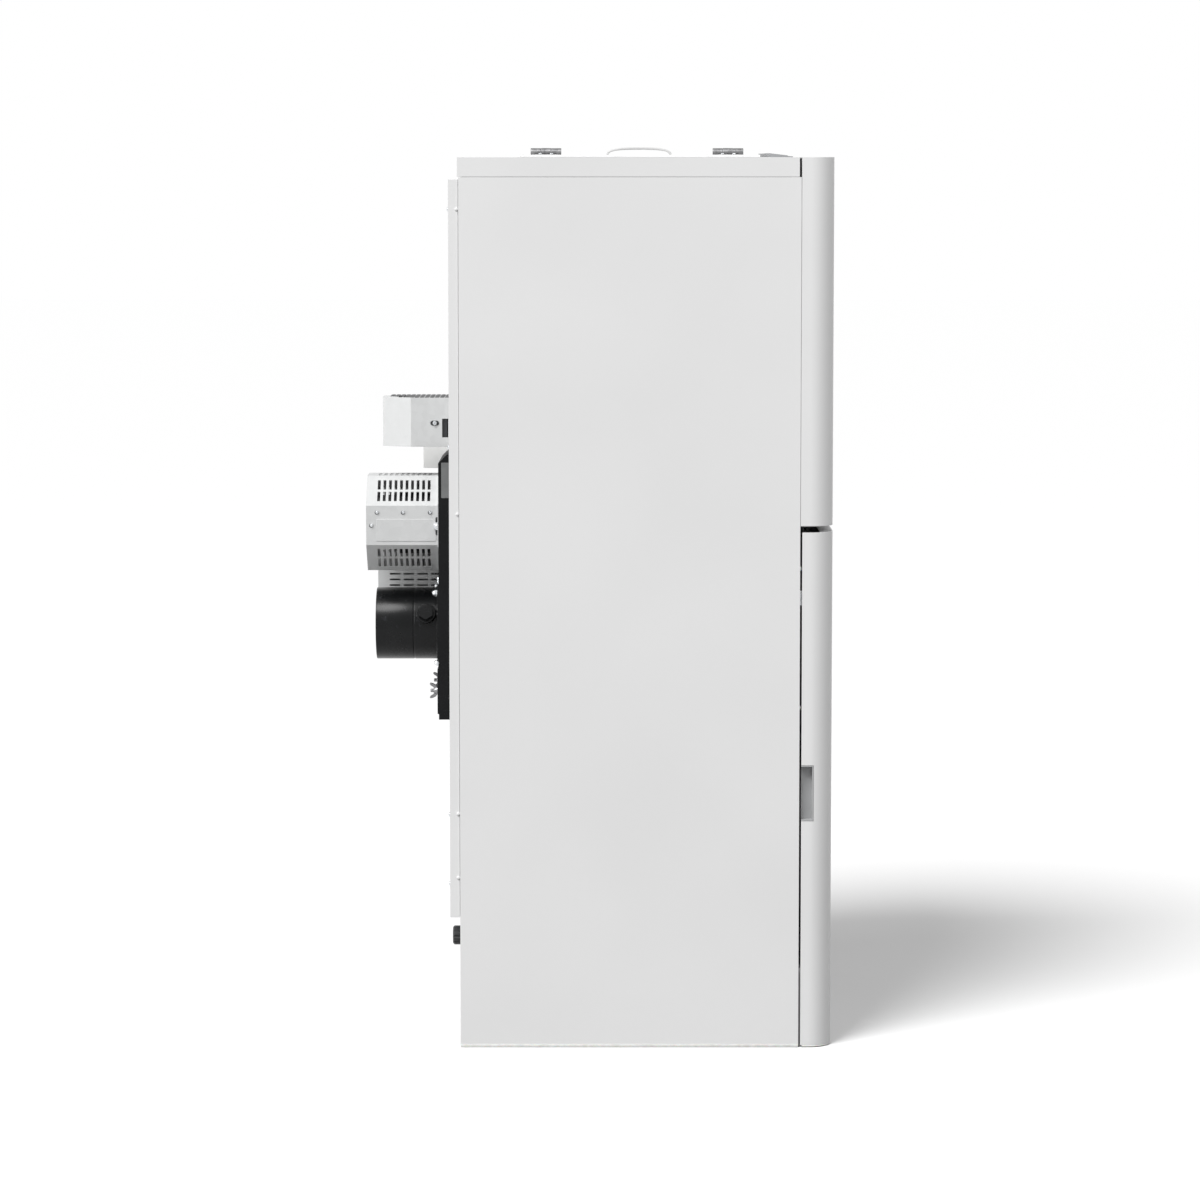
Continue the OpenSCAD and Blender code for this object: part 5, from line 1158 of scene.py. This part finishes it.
def makePlateScrews(look):
    face = boxOf("inner_front_plate")[0][1]
    screwColumns("innerPlateScrews", look["columns"], look["rises"], face, toFront, look["screw"], "casing")


fireDoorLook = {
    "face": -276.3,
    "spots": ((-120.0, 270.0), (-120.0, 506.0), (140.0, 270.0), (140.0, 506.0)),
    "nut": (6.0, 3.6, 2.6),
    "mould": (9.0, 1.2),
    "mouldSunk": 0.5,
}


# Four cap nuts clamp the insulation board inside the fire door, each on a raised boss
def makeFireDoorNuts(look):
    nuts, bosses = bmesh.new(), bmesh.new()
    radius, high = look["mould"]
    for x, z in look["spots"]:
        place = standOn((x, look["face"], z), toFront, x)
        lathe(bosses, place, [(0.0, -look["mouldSunk"]), (radius, -look["mouldSunk"]), (radius * 0.92, high),
                              (0.0, high)])
        capNut(nuts, place @ Matrix.Translation((0, 0, high)), *look["nut"])
    addPiece("fireDoorBosses", bosses, "firebox_door", "cast_iron", 0.3)
    addPiece("fireDoorNuts", nuts, "firebox_door", "zinc_plate", 0.15)


drawerLook = {"inset": 21.0, "front": 28.0, "rear": 1.0, "bead": 1.5, "corner": 3.0, "fall": 12.6}


# The drawer's rim is rolled to a soft edge
def makeDrawerRim(look):
    low, high = boxOf("ash_drawer")
    low[1] += look["front"] - look["inset"]
    high[1] += look["inset"] - look["rear"]
    outline = loopInside(low, high, (0, 1), look["inset"], look["corner"], 4)
    rim = bmesh.new()
    sweep(rim, [Vector((x, y, high[2] - look["fall"])) for x, y in outline], look["bead"], 8, True)
    addPiece("drawerRim", rim, "ash_drawer", "ash_steel")


socketLook = {
    "centres": ((-240.0, 92.0), (120.0, 92.0)),
    "rear": 178.3,
    "threadRadius": 12.1,
    "threadStart": 1.2,
    "pitch": 1.8,
    "turns": 8,
    "stepsPerTurn": 28,
    "ridge": 0.4,
    "hex": (19.0, 7.0),
    "hexBore": 13.0,
    "hexBack": 13.0,
    "hexTurn": 15,
}


# The water sockets: a hexagon against the plate and a pipe thread in the mouth
def makeSockets(look):
    threads, nuts = bmesh.new(), bmesh.new()
    turn = circle(look["stepsPerTurn"], look["threadRadius"])
    steps = len(turn)
    radius, long = look["hex"]
    bore = look["hexBore"]
    for x, z in look["centres"]:
        path = []
        for k in range(look["turns"] * steps):
            across, up = turn[k % steps]
            fall = look["threadStart"] + look["pitch"] * k / steps
            path.append(Vector((x + across, look["rear"] - fall, z + up)))
        sweep(threads, path, look["ridge"], 6)
        lathe(nuts, standOn((x, look["rear"] - look["hexBack"], z), toRear, look["hexTurn"]),
              [(bore, 0.0), (radius, 0.0), (radius, long), (bore, long), (bore, 0.0)], hexagon)
    addPiece("socketThreads", threads, "casing", "copper_pipe")
    addPiece("socketHexagons", nuts, "casing", "brass", 0.6)


trimLook = {
    "low": 0.4,
    "high": 4.4,
    "out": 0.25,
    "in": 2.2,
    "stripCorner": 0.6,
    "corner": 29.0,
    "bead": 1.35,
    "beadRise": 1.7,
    "beadInset": 1.0,
    "beadRear": 2.0,
}


# Milky silicone trim under the side panels and the door, down to the floor
def makeEdgeTrim(look):
    strips, bead = bmesh.new(), bmesh.new()
    for name in ("side_panel_left", "side_panel_right"):
        low, high = boxOf(name)
        way = 1 if low[0] > 0 else -1
        edge = high[0] if way > 0 else low[0]
        x, halfX = centreAndHalf(*sorted((edge + look["out"] * way, edge - look["in"] * way)))
        y, halfY = centreAndHalf(low[1], high[1])
        strip = roundedBox((halfX, halfY), look["stripCorner"])
        prism(strips, Matrix.Translation((x, y, 0)), strip, look["low"], look["high"])
    addPiece("panelEdgeTrim", strips, "casing", "white_silicone", 0.3)
    low, high = boxOf("door_skin")
    r, inset, rise, rear = look["corner"], look["beadInset"], look["beadRise"], high[1] - look["beadRear"]
    x0, x1, y = low[0] + inset, high[0] - inset, low[1] + inset + r
    path = [(x0, rear)] + arc(x0 + r, y, r, 180, 12) + arc(x1 - r, y, r, 270, 12) + [(x1, rear)]
    sweep(bead, [Vector((px, py, rise)) for px, py in path], look["bead"], 10)
    addPiece("doorSweep", bead, "lower_door", "white_silicone")


makeLinerDetails(linerLook)
makePlateScrews(plateLook)
makeFireDoorNuts(fireDoorLook)
makeDrawerRim(drawerLook)
makeSockets(socketLook)
makeEdgeTrim(trimLook)
print("inner details made")


# Studio: a pale floor that keeps the shadow, a white backdrop and soft lamps

studio = {
    "floorColour": "#F2F2F2",
    "floorBounce": "#6A6A6A",
    "floorGlow": 0.09,
    "floorHalf": 30.0,
    "floorRise": -0.2 * mm,
    "world": 0.33,
    "sunTowards": (-0.476, 0.357, 0.804),
    "sunPower": 2.7,
    "sunAngle": 26.0,
    "panels": {"rearPanel": ((-1.6, 3.4, 1.5), (1.6, 1.8), 50.0),
               "frontPanel": ((-2.4, -2.3, 2.3), (1.6, 1.6), 25.0)},
    "aim": (0.0, 0.0, 0.9),
}
white = toLinear("#FFFFFF")


# Light Path: rays that show the backdrop see it white, and the others see the light of the room
def showsBackdrop(tree):
    rays = addNode(tree, "LightPath")
    seen = addNode(tree, "Math", {"operation": "MAXIMUM"},
                   {0: rays.outputs["Is Camera Ray"], 1: rays.outputs["Is Glossy Ray"]})
    return addNode(tree, "Math", {"operation": "MAXIMUM"},
                   {0: seen.outputs[0], 1: rays.outputs["Is Transmission Ray"]}).outputs[0]


# One shader for the rays that show the backdrop, and another for the rest
def splitRays(tree, outputKind, room, backdrop):
    mix = addNode(tree, "MixShader", None,
                  {0: showsBackdrop(tree), 1: room.outputs[0], 2: backdrop.outputs[0]})
    addNode(tree, outputKind, None, {"Surface": mix.outputs[0]})


def makeFloor(look):
    mesh = bmesh.new()
    half = look["floorHalf"]
    mesh.faces.new([mesh.verts.new((x * half, y * half, look["floorRise"]))
                    for x, y in ((-1, -1), (1, -1), (1, 1), (-1, 1))])
    material = bpy.data.materials.new("studioPaper")
    tree = emptyTree(material)
    paper = addNode(tree, "BsdfDiffuse", {"Color": toLinear(look["floorColour"])})
    dim = addNode(tree, "BsdfDiffuse", {"Color": toLinear(look["floorBounce"])})
    glow = addNode(tree, "Emission", {"Color": white, "Strength": look["floorGlow"]})
    lit = addNode(tree, "AddShader", None, {0: paper.outputs[0], 1: glow.outputs[0]})
    splitRays(tree, "OutputMaterial", dim, lit)
    floor = addMesh("floor", mesh, material)


def makeWorld(look):
    world = bpy.data.worlds.new("studio")
    bpy.context.scene.world = world
    tree = emptyTree(world)
    light = addNode(tree, "Background", {"Color": white, "Strength": look["world"]})
    splitRays(tree, "OutputWorld", light, addNode(tree, "Background", {"Color": white, "Strength": 1.0}))


def addLamp(name, kind, towards, power, place=(0, 0, 0)):
    data = bpy.data.lights.new(name, kind)
    data.energy = power
    lamp = addObject(name, data)
    lamp.location = place
    lamp.rotation_euler = Vector(towards).to_track_quat("Z", "Y").to_euler()
    return data


# One broad soft lamp high at the rear, and two soft panels, behind and in front
def makeLamps(look):
    addLamp("softKey", "SUN", look["sunTowards"], look["sunPower"]).angle = math.radians(look["sunAngle"])
    for name, (place, size, power) in look["panels"].items():
        data = addLamp(name, "AREA", Vector(place) - Vector(look["aim"]), power, place)
        data.shape = "RECTANGLE"
        data.size, data.size_y = size


makeFloor(studio)
makeWorld(studio)
makeLamps(studio)

lens = {
    "place": (-5.7497, -0.0053, 1.1937),
    "pitchDown": 5.181,
    "focal": 123.11,
    "sensor": 36.0,
    "shiftUp": -0.055,
    "reach": 100.0,
}


# The photograph's view: from the low-X side, near level, with the front to the right
def makeCamera(look):
    data = bpy.data.cameras.new("sideView")
    data.lens = look["focal"]
    data.sensor_width = look["sensor"]
    data.shift_y = look["shiftUp"]
    data.clip_end = look["reach"]
    camera = addObject("sideView", data)
    camera.location = look["place"]
    camera.rotation_euler = (math.radians(90 - look["pitchDown"]), 0.0, math.radians(-90))
    bpy.context.scene.camera = camera


makeCamera(lens)
bpy.context.scene.view_settings.view_transform = "Standard"
print("studio and camera set")
